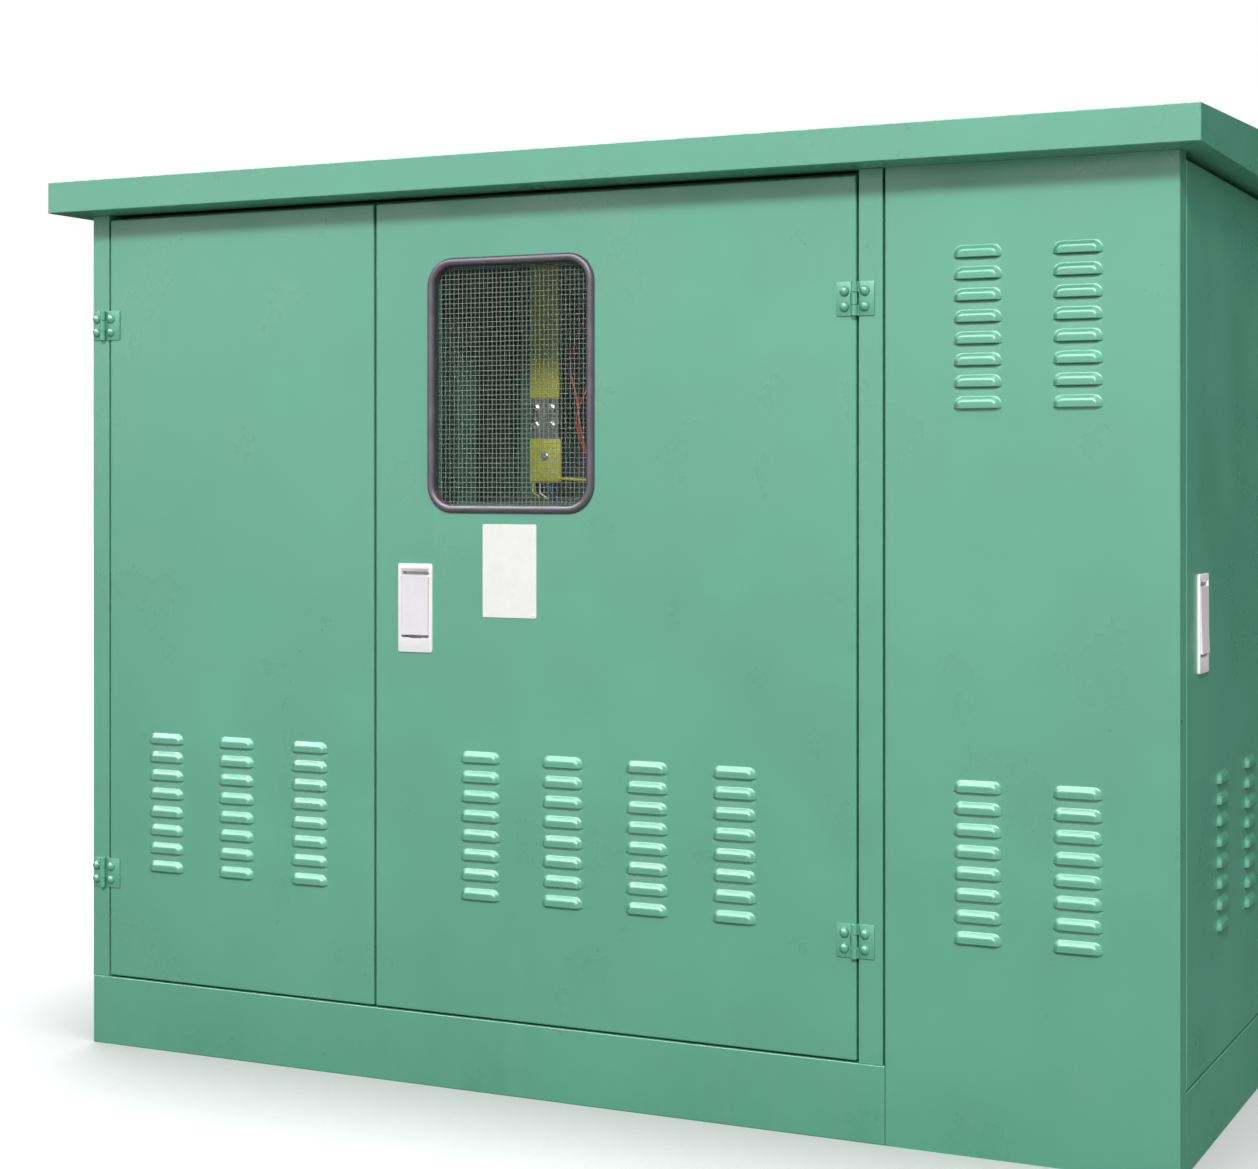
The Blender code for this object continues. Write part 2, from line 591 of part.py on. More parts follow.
def make_tank_front():
    """Bushings, gauges and controls on the tank's front wall, reached from the doors."""
    face = TANK_Y[0] - GAP
    hv = box("hv_bushing_set", (-0.925, face - 0.010, BUSHING_Z - 0.075),
             (-0.475, face, BUSHING_Z + 0.075), "porcelain")
    for index, x in enumerate(HV_BUSHING_X):
        join(hv, round_bar("hv_bushing_%d" % (index + 1), (x, face - 0.105, BUSHING_Z), "Y",
                           0.022, 0.200, top=0.042))
    lv = box("lv_bushing_set", (-0.215, face - 0.010, BUSHING_Z - 0.060),
             (0.415, face, BUSHING_Z + 0.060), "porcelain")
    for index, x in enumerate(LV_BUSHING_X):
        join(lv, round_bar("lv_bushing_%d" % (index + 1), (x, face - 0.055, BUSHING_Z), "Y",
                           0.028, 0.100),
             box("lv_palm_%d" % (index + 1), (x - 0.005, face - 0.160, BUSHING_Z - 0.040),
                 (x + 0.005, face - 0.100, BUSHING_Z + 0.040)))

    boss = 0.040
    switch_axis = (SWITCH_X, face - boss / 2, SWITCH_Z)
    switch = round_bar("switch_handle", switch_axis, "Y", 0.030, boss, "handle_red", sides=20)
    join(switch, box("switch_arm", (SWITCH_X - 0.012, face - boss, SWITCH_Z),
                     (SWITCH_X + 0.012, face - boss + 0.012, SWITCH_Z + 0.130)))
    tap_axis = (SWITCH_X, face - 0.015, TAP_Z)
    tap = round_bar("tap_changer_handle", tap_axis, "Y", 0.034, 0.030, "gauge_black", sides=20)
    join(tap, box("tap_grip", (SWITCH_X - 0.060, face - 0.045, TAP_Z - 0.010),
                  (SWITCH_X + 0.060, face - 0.020, TAP_Z + 0.010)))
    for index, x in enumerate(FUSE_X):
        fuse = round_bar("fuse_holder_%d" % (index + 1), (x, (FUSE_IN + face) / 2, FUSE_Z), "Y", FUSE_BARREL,
                         FUSE_IN - face, "breaker_plastic")
        join(fuse, round_bar("fuse_cap_%d" % (index + 1), (x, face - 0.0135, FUSE_Z), "Y", 0.026, 0.027),
             box("fuse_grip_%d" % (index + 1), (x - 0.006, face - 0.055, FUSE_Z - 0.022),
                 (x + 0.006, face - 0.020, FUSE_Z + 0.022)))

    gauge = round_bar("oil_level_gauge", (GAUGE_X, face - 0.0125, GAUGE_Z), "Y", 0.045, 0.025,
                      "gauge_black", sides=24)
    join(gauge, round_bar("oil_gauge_stem", (GAUGE_X, face - 0.008, GAUGE_Z - 0.050), "Y",
                          0.012, 0.016, sides=12))
    thermometer = round_bar("dial_thermometer", (GAUGE_X, face - 0.015, GAUGE_Z - 0.180), "Y",
                            0.050, 0.030, "gauge_black", sides=24)
    join(thermometer, round_bar("thermometer_well", (GAUGE_X, face - 0.009, GAUGE_Z - 0.240), "Y",
                                0.012, 0.018, sides=12))
    valve = round_bar("pressure_relief_valve", (GAUGE_X, face - 0.020, GAUGE_Z + 0.120), "Y",
                      0.022, 0.040, "zinc_steel", sides=12)
    join(valve, round_bar("valve_ring", (GAUGE_X, face - 0.046, GAUGE_Z + 0.120), "Y",
                          0.014, 0.016, sides=12))
    drain = round_bar("drain_valve", (GAUGE_X, face - 0.030, 0.260), "Y", 0.024, 0.060,
                      "zinc_steel", sides=12)
    join(drain, round_bar("drain_wheel", (GAUGE_X, face - 0.045, 0.300), "Z", 0.026, 0.012, sides=12),
         round_bar("drain_stem", (GAUGE_X, face - 0.045, 0.275), "Z", 0.006, 0.050, sides=8))


def make_lv_gear():
    """The low-voltage switchboard: a frame, breakers and four vertical bars."""
    y = BOARD_Y
    frame = box("lv_mounting_frame", (BOARD_X[0], y, 0.1466),
                (BOARD_X[1], y + 0.040, BOARD_TOP), "zinc_steel")
    rail = 0.040
    cut(frame, box("board_opening_high", (BOARD_X[0] + rail, y - 0.01, 1.10),
                   (BOARD_X[1] - rail, y + 0.05, BOARD_TOP - 0.060)),
        box("board_opening_low", (BOARD_X[0] + rail, y - 0.01, 0.20),
            (BOARD_X[1] - rail, y + 0.05, 0.50)))
    front = y - GAP
    for index, x in enumerate(BAR_X):
        box("busbar_%d" % (index + 1), (x - BAR_WIDE / 2, front - 0.026, BAR_Z[0]),
            (x + BAR_WIDE / 2, front - 0.020, BAR_Z[1]), "busbar_copper")
    breakers = (("main_breaker", MAIN_X, MAIN_Z, 0.480, 0.340, 0.150),
                ("feeder_breaker_1", FEEDER_X[0], FEEDER_Z, 0.140, 0.240, 0.095),
                ("feeder_breaker_2", FEEDER_X[1], FEEDER_Z, 0.140, 0.240, 0.095))
    for name, x, z, wide, tall, deep in breakers:
        case = box(name, (x - wide / 2, front - deep, z - tall / 2),
                   (x + wide / 2, front, z + tall / 2), "breaker_plastic")
        slot = 0.034
        cut(case, box(name + "_slot", (x - 0.012, front - deep - 0.01, z - slot),
                      (x + 0.012, front - deep + 0.030, z + slot)))
        axis = (x, front - deep + 0.016, z - TOGGLE_DROP)
        toggle = round_bar(name.replace("breaker", "toggle"), axis, "X", 0.009, 0.020, "gauge_black", origin=axis)
        join(toggle, box(name + "_toggle_arm", (x - 0.007, front - deep - 0.020, axis[2] - 0.006),
                         (x + 0.007, front - deep + 0.014, axis[2] + 0.006)))


def main():
    make_frame()
    make_panels()
    make_roof()
    make_hv_door()
    make_lv_door()
    make_side_door()
    box("compartment_partition", (PARTITION_X - 0.0015, FRONT + 0.035, BASE_HEIGHT + 0.0046),
        (PARTITION_X + 0.0015, TANK_Y[0] - 0.022, HEADER_LOW - 0.001), "zinc_steel")
    make_tank()
    make_radiators()
    make_tank_front()
    make_lv_gear()


clear_scene()
PARTS = new_collection("pad_mounted_transformer")
CUTTERS = new_collection("cutters")
main()
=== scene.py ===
"""The looks of a pad-mounted transformer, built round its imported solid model.

Metres, +Z up, doors towards -Y.  Every piece is drawn in the model's own frame, so a
piece's mesh holds its place and its object stays at the origin.
"""
import json
import math

import bmesh
import bpy
from bpy.props import FloatProperty, IntProperty, PointerProperty, StringProperty
from mathutils import Matrix, Vector


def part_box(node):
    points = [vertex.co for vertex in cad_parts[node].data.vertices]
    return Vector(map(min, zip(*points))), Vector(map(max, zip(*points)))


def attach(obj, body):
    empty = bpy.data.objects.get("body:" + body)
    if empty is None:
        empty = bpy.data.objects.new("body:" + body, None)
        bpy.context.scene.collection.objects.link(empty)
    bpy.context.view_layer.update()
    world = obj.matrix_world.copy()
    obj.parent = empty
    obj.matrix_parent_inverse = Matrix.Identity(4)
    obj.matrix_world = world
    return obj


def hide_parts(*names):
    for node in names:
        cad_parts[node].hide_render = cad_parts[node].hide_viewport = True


bl_info = {
    "name": "Pad-mounted transformer",
    "version": (1, 0, 0),
    "blender": (4, 5, 0),
    "location": "3D View > Sidebar > Transformer",
    "description": "Builds the finish and the fine pieces of a pad-mounted transformer",
    "category": "Object",
}

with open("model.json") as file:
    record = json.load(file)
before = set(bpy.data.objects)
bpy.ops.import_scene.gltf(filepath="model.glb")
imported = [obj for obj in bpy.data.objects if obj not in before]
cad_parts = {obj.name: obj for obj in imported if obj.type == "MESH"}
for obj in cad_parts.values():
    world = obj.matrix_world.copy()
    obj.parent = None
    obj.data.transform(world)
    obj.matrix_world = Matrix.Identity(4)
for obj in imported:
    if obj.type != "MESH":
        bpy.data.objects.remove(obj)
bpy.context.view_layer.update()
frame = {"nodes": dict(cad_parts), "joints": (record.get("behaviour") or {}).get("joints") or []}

MM = 0.001
SLIT = 0.0003                  # clearance between pieces that touch
BASE_LOW, BASE_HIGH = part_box("base_frame")
FRONT = BASE_LOW.y             # the doors' outer face
RIGHT = BASE_HIGH.x            # the side door's outer face
LEFT = BASE_LOW.x
BACK = BASE_HIGH.y

EYE = (2.017, -4.687, 1.192)   # where the camera stands; it looks level
EYE_TURN = 25.8                # degrees that it is turned to the left of straight ahead
LENS, SENSOR, LENS_SHIFT = 66.3, 36.0, -0.0827
KEY_FROM = (0.27, -0.81, 0.52)     # directions towards the lamps
SIDE_FROM = (0.89, -0.10, 0.44)
BACK_FROM = (-0.45, 0.78, 0.44)


# ---- sizes and colours that a user would change --------------------------------------
class TransformerSizes(bpy.types.PropertyGroup):
    louvre_width: FloatProperty(name="Louvre width", description="Length of a louvre's slot",
                                default=0.088, unit="LENGTH")
    louvre_height: FloatProperty(name="Louvre height", description="Height of a louvre's hood",
                                 default=0.0225, unit="LENGTH")
    louvre_depth: FloatProperty(name="Louvre depth", description="How far a hood stands out",
                                default=0.0078, unit="LENGTH")
    louvre_pitch: FloatProperty(name="Louvre pitch", description="From one louvre to the next",
                                default=0.0381, unit="LENGTH")
    louvre_rows: IntProperty(name="Louvre rows", description="Louvres in one column", default=8)
    louvre_corner: FloatProperty(name="Louvre corner", description="Radius of a hood's upper corners",
                                 default=0.0185, unit="LENGTH")
    louvre_band: FloatProperty(name="Louvre band",
                               description="Width of the sloping band round a hood's front",
                               default=0.0112, unit="LENGTH")
    sheet: FloatProperty(name="Sheet", description="Thickness of the steel sheet",
                         default=0.002, unit="LENGTH")
    fold: FloatProperty(name="Fold radius", description="Outer radius of a folded edge",
                        default=0.0028, unit="LENGTH")
    wire_pitch: FloatProperty(name="Mesh pitch", description="From one wire of the window's mesh to the next",
                              default=0.0095, unit="LENGTH")
    wire: FloatProperty(name="Wire", description="Diameter of the mesh's wire",
                        default=0.0013, unit="LENGTH")
    bolt: FloatProperty(name="Bolt head", description="Diameter of a hinge's domed bolt head",
                        default=0.0185, unit="LENGTH")


class TransformerColours(bpy.types.PropertyGroup):
    enclosure: StringProperty(name="Enclosure", description="Powder coat, as an sRGB hex value",
                              default="5CA189")
    # inside: the enclosure's green darkened, painted shade for the parts inside the compartments and on the
    # doors' backs
    inside: StringProperty(name="Inside", description="Enclosure green darkened for painted shade inside", default="235C45")
    handle: StringProperty(name="Handle", description="Coating of the lift handles", default="F6F4F5")
    plate: StringProperty(name="Plate", description="Coating of the blank plate", default="F4F4F0")
    rubber: StringProperty(name="Rubber", description="Window rubber", default="4B444D")
    sleeve: StringProperty(name="Sleeve", description="First phase's sleeve", default="C9CC3A")


# ---- small helpers --------------------------------------------------------------------
def linear(code):
    """An sRGB hex value as an opaque linear colour."""
    parts = [int(code[i:i + 2], 16) / 255 for i in (0, 2, 4)]
    return [c / 12.92 if c <= 0.04045 else ((c + 0.055) / 1.055) ** 2.4 for c in parts] + [1.0]


def add_node(tree, kind, values=None, links=None, **settings):
    """One shader node with its settings, its socket values and its incoming links."""
    node = tree.nodes.new(kind)
    for key, value in settings.items():
        setattr(node, key, value)
    for key, value in (values or {}).items():
        node.inputs[key].default_value = value
    for key, (source, output) in (links or {}).items():
        tree.links.new(source.outputs[output], node.inputs[key])
    return node


def new_material(name, **sockets):
    """A material with its Principled shader, whose constant sockets are set here."""
    mat = bpy.data.materials.new(name)
    mat.use_nodes = True
    tree = mat.node_tree
    shader = tree.nodes["Principled BSDF"]
    for key, value in sockets.items():
        shader.inputs[key.replace("_", " ")].default_value = value
    place = add_node(tree, "ShaderNodeTexCoord")
    return mat, tree, shader, place


def noise(tree, place, size, detail, stretch=None):
    """Noise whose blotches are about size metres across; stretch makes them streaks."""
    source, output = place, "Object"
    if stretch:
        source = add_node(tree, "ShaderNodeMapping", {"Scale": stretch}, {"Vector": (place, "Object")})
        output = "Vector"
    return add_node(tree, "ShaderNodeTexNoise", {"Scale": 1 / size, "Detail": detail, "Roughness": 0.55},
                    {"Vector": (source, output)})


def ramp(tree, source, output, low, high, from_low=0.3, from_high=0.7):
    """A value moved from one range to another."""
    return add_node(tree, "ShaderNodeMapRange", {"From Min": from_low, "From Max": from_high,
                                                 "To Min": low, "To Max": high}, {"Value": (source, output)})


def mix(tree, factor, first, second, blend="MIX"):
    """A colour between two; each is a colour or a (node, output) pair, as the factor may be."""
    node = add_node(tree, "ShaderNodeMix", data_type="RGBA", blend_type=blend)
    for socket, value in ((node.inputs[0], factor), (node.inputs[6], first), (node.inputs[7], second)):
        if isinstance(value, tuple):
            tree.links.new(value[0].outputs[value[1]], socket)
        else:
            socket.default_value = value
    return node


def coat(tree, shader, colour, gloss):
    """Gives a shader its colour, from a mix, and its roughness, from a ramp."""
    tree.links.new(colour.outputs[2], shader.inputs["Base Color"])
    tree.links.new(gloss.outputs[0], shader.inputs["Roughness"])


def bump(tree, shader, height, depth, strength):
    """Relief of the given depth in metres, from a height node's first output."""
    node = add_node(tree, "ShaderNodeBump", {"Distance": depth, "Strength": strength},
                    {"Height": (height, 0)})
    tree.links.new(node.outputs["Normal"], shader.inputs["Normal"])


def shade(code, factor):
    """A colour made lighter or darker in linear light."""
    return [c * factor for c in linear(code)[:3]] + [1.0]


# ---- materials: what the real one is and what that gives the eye ------------------------
def powder_coated_steel(name, code, dust=0.06, roughness=0.30):
    """Sheet steel, sprayed with polyester powder and baked.

    Satin, with a slight orange peel, faint blotches from one panel area to the next,
    and a little pale dust and rain streaking towards the ground.
    """
    mat, tree, shader, place = new_material(name, IOR=1.5, Specular_IOR_Level=0.55)
    blotches = noise(tree, place, 0.45, 4.0)
    tone = ramp(tree, blotches, "Fac", 0.0, 1.0)
    paint = mix(tree, (tone, 0), shade(code, 0.95), shade(code, 1.05))
    streaks = noise(tree, place, 0.05, 4.0, stretch=(1.0, 1.0, 0.06))
    parts = add_node(tree, "ShaderNodeSeparateXYZ", links={"Vector": (place, "Object")})
    low = ramp(tree, parts, "Z", dust, 0.0, 0.0, 0.40)
    streak = ramp(tree, streaks, "Fac", 0.1, 1.0, 0.42, 0.72)
    film = add_node(tree, "ShaderNodeMath", links={0: (low, 0), 1: (streak, 0)}, operation="MULTIPLY")
    dusty = mix(tree, (film, 0), (paint, 2), linear("A9B9A8"))
    haze = noise(tree, place, 0.18, 5.0)
    gloss = ramp(tree, haze, "Fac", roughness - 0.05, roughness + 0.08)
    coat(tree, shader, dusty, gloss)
    # orange peel is 1 to 2 mm on the real coat; drawn at 4 mm so that it shows
    bump(tree, shader, noise(tree, place, 4 * MM, 2.0), 0.05 * MM, 0.6)
    return mat


def coated_zinc_casting(name, code):
    """Die-cast zinc with a white stoved coat: smooth and a little glossier than the sheet."""
    mat, tree, shader, place = new_material(name, IOR=1.5, Coat_Weight=0.15, Coat_Roughness=0.12)
    handled = noise(tree, place, 0.035, 4.0)
    tone = ramp(tree, handled, "Fac", 0.0, 1.0, 0.35, 0.75)
    paint = mix(tree, (tone, 0), linear(code), shade(code, 0.93))
    gloss = ramp(tree, handled, "Fac", 0.26, 0.42)
    coat(tree, shader, paint, gloss)
    bump(tree, shader, noise(tree, place, 2 * MM, 2.0), 0.02 * MM, 0.5)
    return mat


def moulded_rubber(name, code):
    """Extruded EPDM rubber, bloomed by weather to a grey with a soft sheen."""
    mat, tree, shader, place = new_material(name, IOR=1.52, Specular_IOR_Level=0.5)
    bloom = noise(tree, place, 0.03, 5.0)
    tone = ramp(tree, bloom, "Fac", 0.0, 1.0)
    skin = mix(tree, (tone, 0), shade(code, 0.80), shade(code, 1.12))
    gloss = ramp(tree, bloom, "Fac", 0.34, 0.50)
    coat(tree, shader, skin, gloss)
    bump(tree, shader, noise(tree, place, 1.5 * MM, 3.0), 0.06 * MM, 0.6)
    return mat


def float_glass(name):
    """Clear float glass: almost only its edge tint and a thin film of dust show."""
    mat, tree, shader, place = new_material(name, IOR=1.5, Alpha=0.04)
    film = noise(tree, place, 0.09, 4.0)
    tone = ramp(tree, film, "Fac", 0.0, 1.0)
    tint = mix(tree, (tone, 0), linear("2E4A3E"), linear("4F655A"))
    gloss = ramp(tree, film, "Fac", 0.03, 0.10)
    coat(tree, shader, tint, gloss)
    return mat


def plated_steel(name, code="C3C5C0", grain=4 * MM, roughness=0.34, metallic=1.0):
    """A zinc or tin plating: bright metal under a fine mottled passivated film.

    A weathered one is rougher and mottled wider, and with metallic at 0 it is dull all
    over, as wire is under its white rust.
    """
    mat, tree, shader, place = new_material(name, Metallic=metallic)
    film = noise(tree, place, grain, 4.0)
    tone = ramp(tree, film, "Fac", 0.0, 1.0)
    zinc = mix(tree, (tone, 0), shade(code, 0.82), shade(code, 1.10))
    gloss = ramp(tree, film, "Fac", roughness - 0.06, roughness + 0.12)
    coat(tree, shader, zinc, gloss)
    bump(tree, shader, film, 0.03 * MM, 0.5)
    return mat


def galvanised_sheet(name):
    """Hot-dip galvanised sheet: spangles of about 12 mm, each at its own grey."""
    mat, tree, shader, place = new_material(name, Metallic=1.0)
    spangle = add_node(tree, "ShaderNodeTexVoronoi", {"Scale": 1 / (12 * MM), "Randomness": 1.0},
                       {"Vector": (place, "Object")})
    grey = add_node(tree, "ShaderNodeSeparateColor", links={"Color": (spangle, "Color")})
    zinc = mix(tree, (grey, 0), linear("8F9492"), linear("B9BCB9"))
    gloss = ramp(tree, grey, "Green", 0.32, 0.52, 0.0, 1.0)
    coat(tree, shader, zinc, gloss)
    bump(tree, shader, noise(tree, place, 6 * MM, 3.0), 0.04 * MM, 0.4)
    return mat


def laminated_steel(name):
    """Stacked silicon-steel laminations: fine edge lines, drawn at 4 mm so that they show."""
    mat, tree, shader, place = new_material(name, Metallic=1.0)
    stack = add_node(tree, "ShaderNodeTexWave", {"Scale": 1 / (4 * MM) / math.tau, "Distortion": 0.3},
                     {"Vector": (place, "Object")}, bands_direction="Y")
    steel = mix(tree, (stack, "Fac"), linear("55585C"), linear("7C8086"))
    gloss = ramp(tree, stack, "Fac", 0.35, 0.50, 0.0, 1.0)
    coat(tree, shader, steel, gloss)
    bump(tree, shader, stack, 0.15 * MM, 0.6)
    return mat


def wound_paper(name):
    """Kraft paper wound round copper and varnished: brown, banded every 9 mm."""
    mat, tree, shader, place = new_material(name, IOR=1.5)
    bands = add_node(tree, "ShaderNodeTexWave",
                     {"Scale": 1 / (9 * MM) / math.tau, "Distortion": 0.6, "Detail": 2.0},
                     {"Vector": (place, "Object")}, bands_direction="Z")
    fibre = noise(tree, place, 5 * MM, 4.0, stretch=(1, 1, 5))
    tone = mix(tree, (bands, "Fac"), linear("7A4B22"), linear("A87440"))
    paper = mix(tree, 0.25, (tone, 2), (fibre, "Color"), "SOFT_LIGHT")
    gloss = ramp(tree, fibre, "Fac", 0.5, 0.75)
    coat(tree, shader, paper, gloss)
    bump(tree, shader, bands, 0.6 * MM, 0.7)
    return mat


def glazed_porcelain(name, code):
    """Glazed electrical porcelain: glassy, in one colour that pools darker and lighter."""
    mat, tree, shader, place = new_material(name, IOR=1.55, Coat_Weight=0.5, Coat_Roughness=0.05)
    pool = noise(tree, place, 0.03, 4.0)
    tone = ramp(tree, pool, "Fac", 0.0, 1.0)
    glaze = mix(tree, (tone, 0), shade(code, 0.75), shade(code, 1.25))
    gloss = ramp(tree, pool, "Fac", 0.10, 0.22)
    coat(tree, shader, glaze, gloss)
    bump(tree, shader, noise(tree, place, 6 * MM, 2.0), 0.05 * MM, 0.5)
    return mat


def moulded_plastic(name, code, roughness=0.42):
    """Moulded thermoset or PVC: even colour, a fine spark-eroded texture of 1 mm."""
    mat, tree, shader, place = new_material(name, IOR=1.5)
    cloud = noise(tree, place, 0.04, 4.0)
    tone = ramp(tree, cloud, "Fac", 0.0, 1.0)
    body = mix(tree, (tone, 0), shade(code, 0.88), shade(code, 1.08))
    gloss = ramp(tree, cloud, "Fac", roughness - 0.05, roughness + 0.08)
    coat(tree, shader, body, gloss)
    bump(tree, shader, noise(tree, place, 1 * MM, 2.0), 0.03 * MM, 0.5)
    return mat


def rolled_copper(name):
    """Bare rolled copper bar: warm metal with a lengthwise grain and a tarnished bloom."""
    mat, tree, shader, place = new_material(name, Metallic=1.0)
    tarnish = noise(tree, place, 0.03, 5.0)
    grain = noise(tree, place, 1.5 * MM, 3.0, stretch=(1, 1, 0.05))
    tone = ramp(tree, tarnish, "Fac", 0.0, 1.0)
    copper = mix(tree, (tone, 0), linear("B8693F"), linear("DB9068"))
    gloss = ramp(tree, grain, "Fac", 0.24, 0.42)
    coat(tree, shader, copper, gloss)
    bump(tree, shader, grain, 0.03 * MM, 0.5)
    return mat


MATERIALS = {}


def make_materials():
    """Fills MATERIALS, once the scene has the colours that a user may have changed."""
    colours = bpy.context.scene.transformer_colours
    MATERIALS.update({
        "enclosure": powder_coated_steel("powder_coated_steel", colours.enclosure),
        # the dark inside green is painted shade: the enclosure's green darkened for the parts inside and
        # behind the doors
        "inside": powder_coated_steel("inside_green_painted_shade", colours.inside, dust=0.1, roughness=0.55),
        "handle": coated_zinc_casting("coated_zinc_casting", colours.handle),
        "lever": coated_zinc_casting("coated_lever_casting", "E9E4EA"),
        "plate": coated_zinc_casting("coated_aluminium_plate", colours.plate),
        "rubber": moulded_rubber("bloomed_epdm_rubber", colours.rubber),
        "glass": float_glass("float_glass"),
        "wire": plated_steel("galvanised_wire", "838E84", grain=20 * MM, roughness=0.75, metallic=0.0),
        "zinc": plated_steel("zinc_plated_steel"),
        "bolt": plated_steel("bright_bolt_steel", "D8D9D6", roughness=0.26),
        "galvanised": galvanised_sheet("galvanised_sheet"),
        "tank": powder_coated_steel("tank_enamel", "6F7B78", dust=0.05, roughness=0.48),
        "core": laminated_steel("laminated_steel"),
        "winding": wound_paper("wound_kraft_paper"),
        "porcelain": glazed_porcelain("glazed_porcelain", "6B2F1C"),
        "breaker": moulded_plastic("thermoset_casing", "2B2C30"),
        "dial": moulded_plastic("white_dial_enamel", "E8E8E2", 0.3),
        "black": moulded_plastic("black_phenolic", "1B1B1D", 0.34),
        "red": moulded_plastic("red_polyester", "A81F16", 0.36),
        "copper": rolled_copper("rolled_copper"),
        "tinned": plated_steel("tin_plated_copper", "8E918C", grain=30 * MM, roughness=0.4),
        "sleeve_1": moulded_plastic("yellow_pvc_sleeve", colours.sleeve, 0.40),
        "sleeve_2": moulded_plastic("green_pvc_sleeve", "2F8A4A", 0.40),
        "sleeve_3": moulded_plastic("red_pvc_sleeve", "B3372B", 0.40),
        "sleeve_4": moulded_plastic("blue_pvc_sleeve", "2C5FA0", 0.40),
        "cable": moulded_plastic("black_cable_sheath", "232326", 0.5),
        "orange": moulded_plastic("orange_cable_sheath", "C8623A", 0.45),
    })


# ---- shapes ----------------------------------------------------------------------------
def finish_piece(name, bm, finish, body, angle=40, bevel=0.0, replaced=()):
    """Turns a bmesh into a piece that rides on a body and takes a material."""
    mesh = bpy.data.meshes.new(name)
    bmesh.ops.recalc_face_normals(bm, faces=bm.faces[:])
    bm.to_mesh(mesh)
    bm.free()
    obj = bpy.data.objects.new(name, mesh)
    bpy.context.scene.collection.objects.link(obj)
    mesh.materials.append(MATERIALS[finish])
    if bevel:
        add_bevel(obj, bevel)
    mesh.shade_smooth()
    mesh.set_sharp_from_angle(angle=math.radians(angle))
    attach(obj, body)
    if replaced:
        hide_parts(*replaced)


def add_bevel(obj, width, segments=2, angle=35, harden=True):
    """Rounds the edges that turn by more than angle degrees."""
    mod = obj.modifiers.new("rounded_edges", "BEVEL")
    mod.width = width
    mod.segments = segments
    mod.limit_method = "ANGLE"
    mod.angle_limit = math.radians(angle)
    mod.harden_normals = harden


def dress(node, finish, bevel, segments=2):
    """A solid-model node keeps its shape: it gets its material and softly rounded edges."""
    obj = frame["nodes"][node]
    obj.data.materials.clear()
    obj.data.materials.append(MATERIALS[finish])
    weld = obj.modifiers.new("weld", "WELD")
    weld.merge_threshold = 0.00002
    if bevel:
        add_bevel(obj, bevel, segments)


def rounded_box(bm, low, high, radius, segments=2, matrix=None):
    """A box with rounded edges, made in place among a piece's other shapes."""
    low, high = Vector(low), Vector(high)
    part = bmesh.new()
    bmesh.ops.create_cube(part, size=1.0)
    stretch = Matrix.Translation((high + low) / 2) @ Matrix.Diagonal((*(high - low), 1.0))
    bmesh.ops.transform(part, matrix=stretch, verts=part.verts)
    bmesh.ops.bevel(part, geom=part.edges[:], offset=radius, segments=segments, affect="EDGES", profile=0.5)
    merge(bm, part, matrix)


def merge(bm, part, matrix=None):
    """Adds one bmesh to another and frees it."""
    if matrix is not None:
        bmesh.ops.transform(part, matrix=matrix, verts=part.verts)
    mesh = bpy.data.meshes.new("part")
    part.to_mesh(mesh)
    part.free()
    bm.from_mesh(mesh)
    bpy.data.meshes.remove(mesh)


def turned(bm, profile, matrix, sides):
    """A closed turned shape: profile is a list of (radius, height) from one end to the other."""
    part = bmesh.new()
    rings = []
    for radius, height in profile:
        if radius < 1e-6:
            rings.append([part.verts.new((0, 0, height))])
            continue
        angles = [math.tau * n / sides for n in range(sides)]
        rings.append([part.verts.new((radius * math.cos(angle), radius * math.sin(angle), height))
                      for angle in angles])
    for lower, upper in zip(rings, rings[1:]):
        for n in range(sides):
            m = (n + 1) % sides
            corners = [lower[n % len(lower)], lower[m % len(lower)],
                       upper[m % len(upper)], upper[n % len(upper)]]
            unique = list(dict.fromkeys(corners))
            if len(unique) > 2:
                part.faces.new(unique)
    for ring in (rings[0], rings[-1]):
        if len(ring) > 1:
            part.faces.new(ring)
    bmesh.ops.recalc_face_normals(part, faces=part.faces[:])
    merge(bm, part, matrix)


def facing(point, direction):
    """Places a turned shape at point with its height along direction."""
    return Matrix.Translation(point) @ Vector(direction).to_track_quat("Z", "Y").to_matrix().to_4x4()


def dome(radius, height, base=0.0):
    """Profile of a domed head: a cylinder of height base, if it has one, under a dome."""
    steps = 6
    profile = [(radius, 0.0)]
    for n in range(steps + 1):
        angle = math.pi / 2 * n / steps
        profile.append((radius * math.cos(angle), base + height * math.sin(angle)))
    return profile


def hex_bolt(bm, matrix, across, high):
    """A washer under a hexagon head; across is half the head's width over its corners."""
    washer = 1.6 * MM
    turned(bm, [(across * 1.25, 0.0), (across * 1.25, washer)], matrix, 24)
    turned(bm, [(across, washer), (across, high), (across * 0.86, high + 0.9 * MM)], matrix, 6)


def bridge(bm, pairs):
    """Faces all round between the closed loops of each pair."""
    for one, other in pairs:
        for n in range(len(one)):
            m = (n + 1) % len(one)
            bm.faces.new((one[n], one[m], other[m], other[n]))


def rounded_outline(width, height, radius, inset, steps):
    """Points round a rectangle with round corners, centred on 0, shrunk by inset."""
    points = []
    radius_in = max(radius - inset, 0.0002)
    for corner in range(4):
        sx, sz = ((1, 1), (-1, 1), (-1, -1), (1, -1))[corner]
        cx = sx * (width / 2 - inset - radius_in)
        cz = sz * (height / 2 - inset - radius_in)
        for n in range(steps + 1):
            angle = math.pi / 2 * (corner + n / steps)
            points.append((cx + radius_in * math.cos(angle), cz + radius_in * math.sin(angle)))
    return points


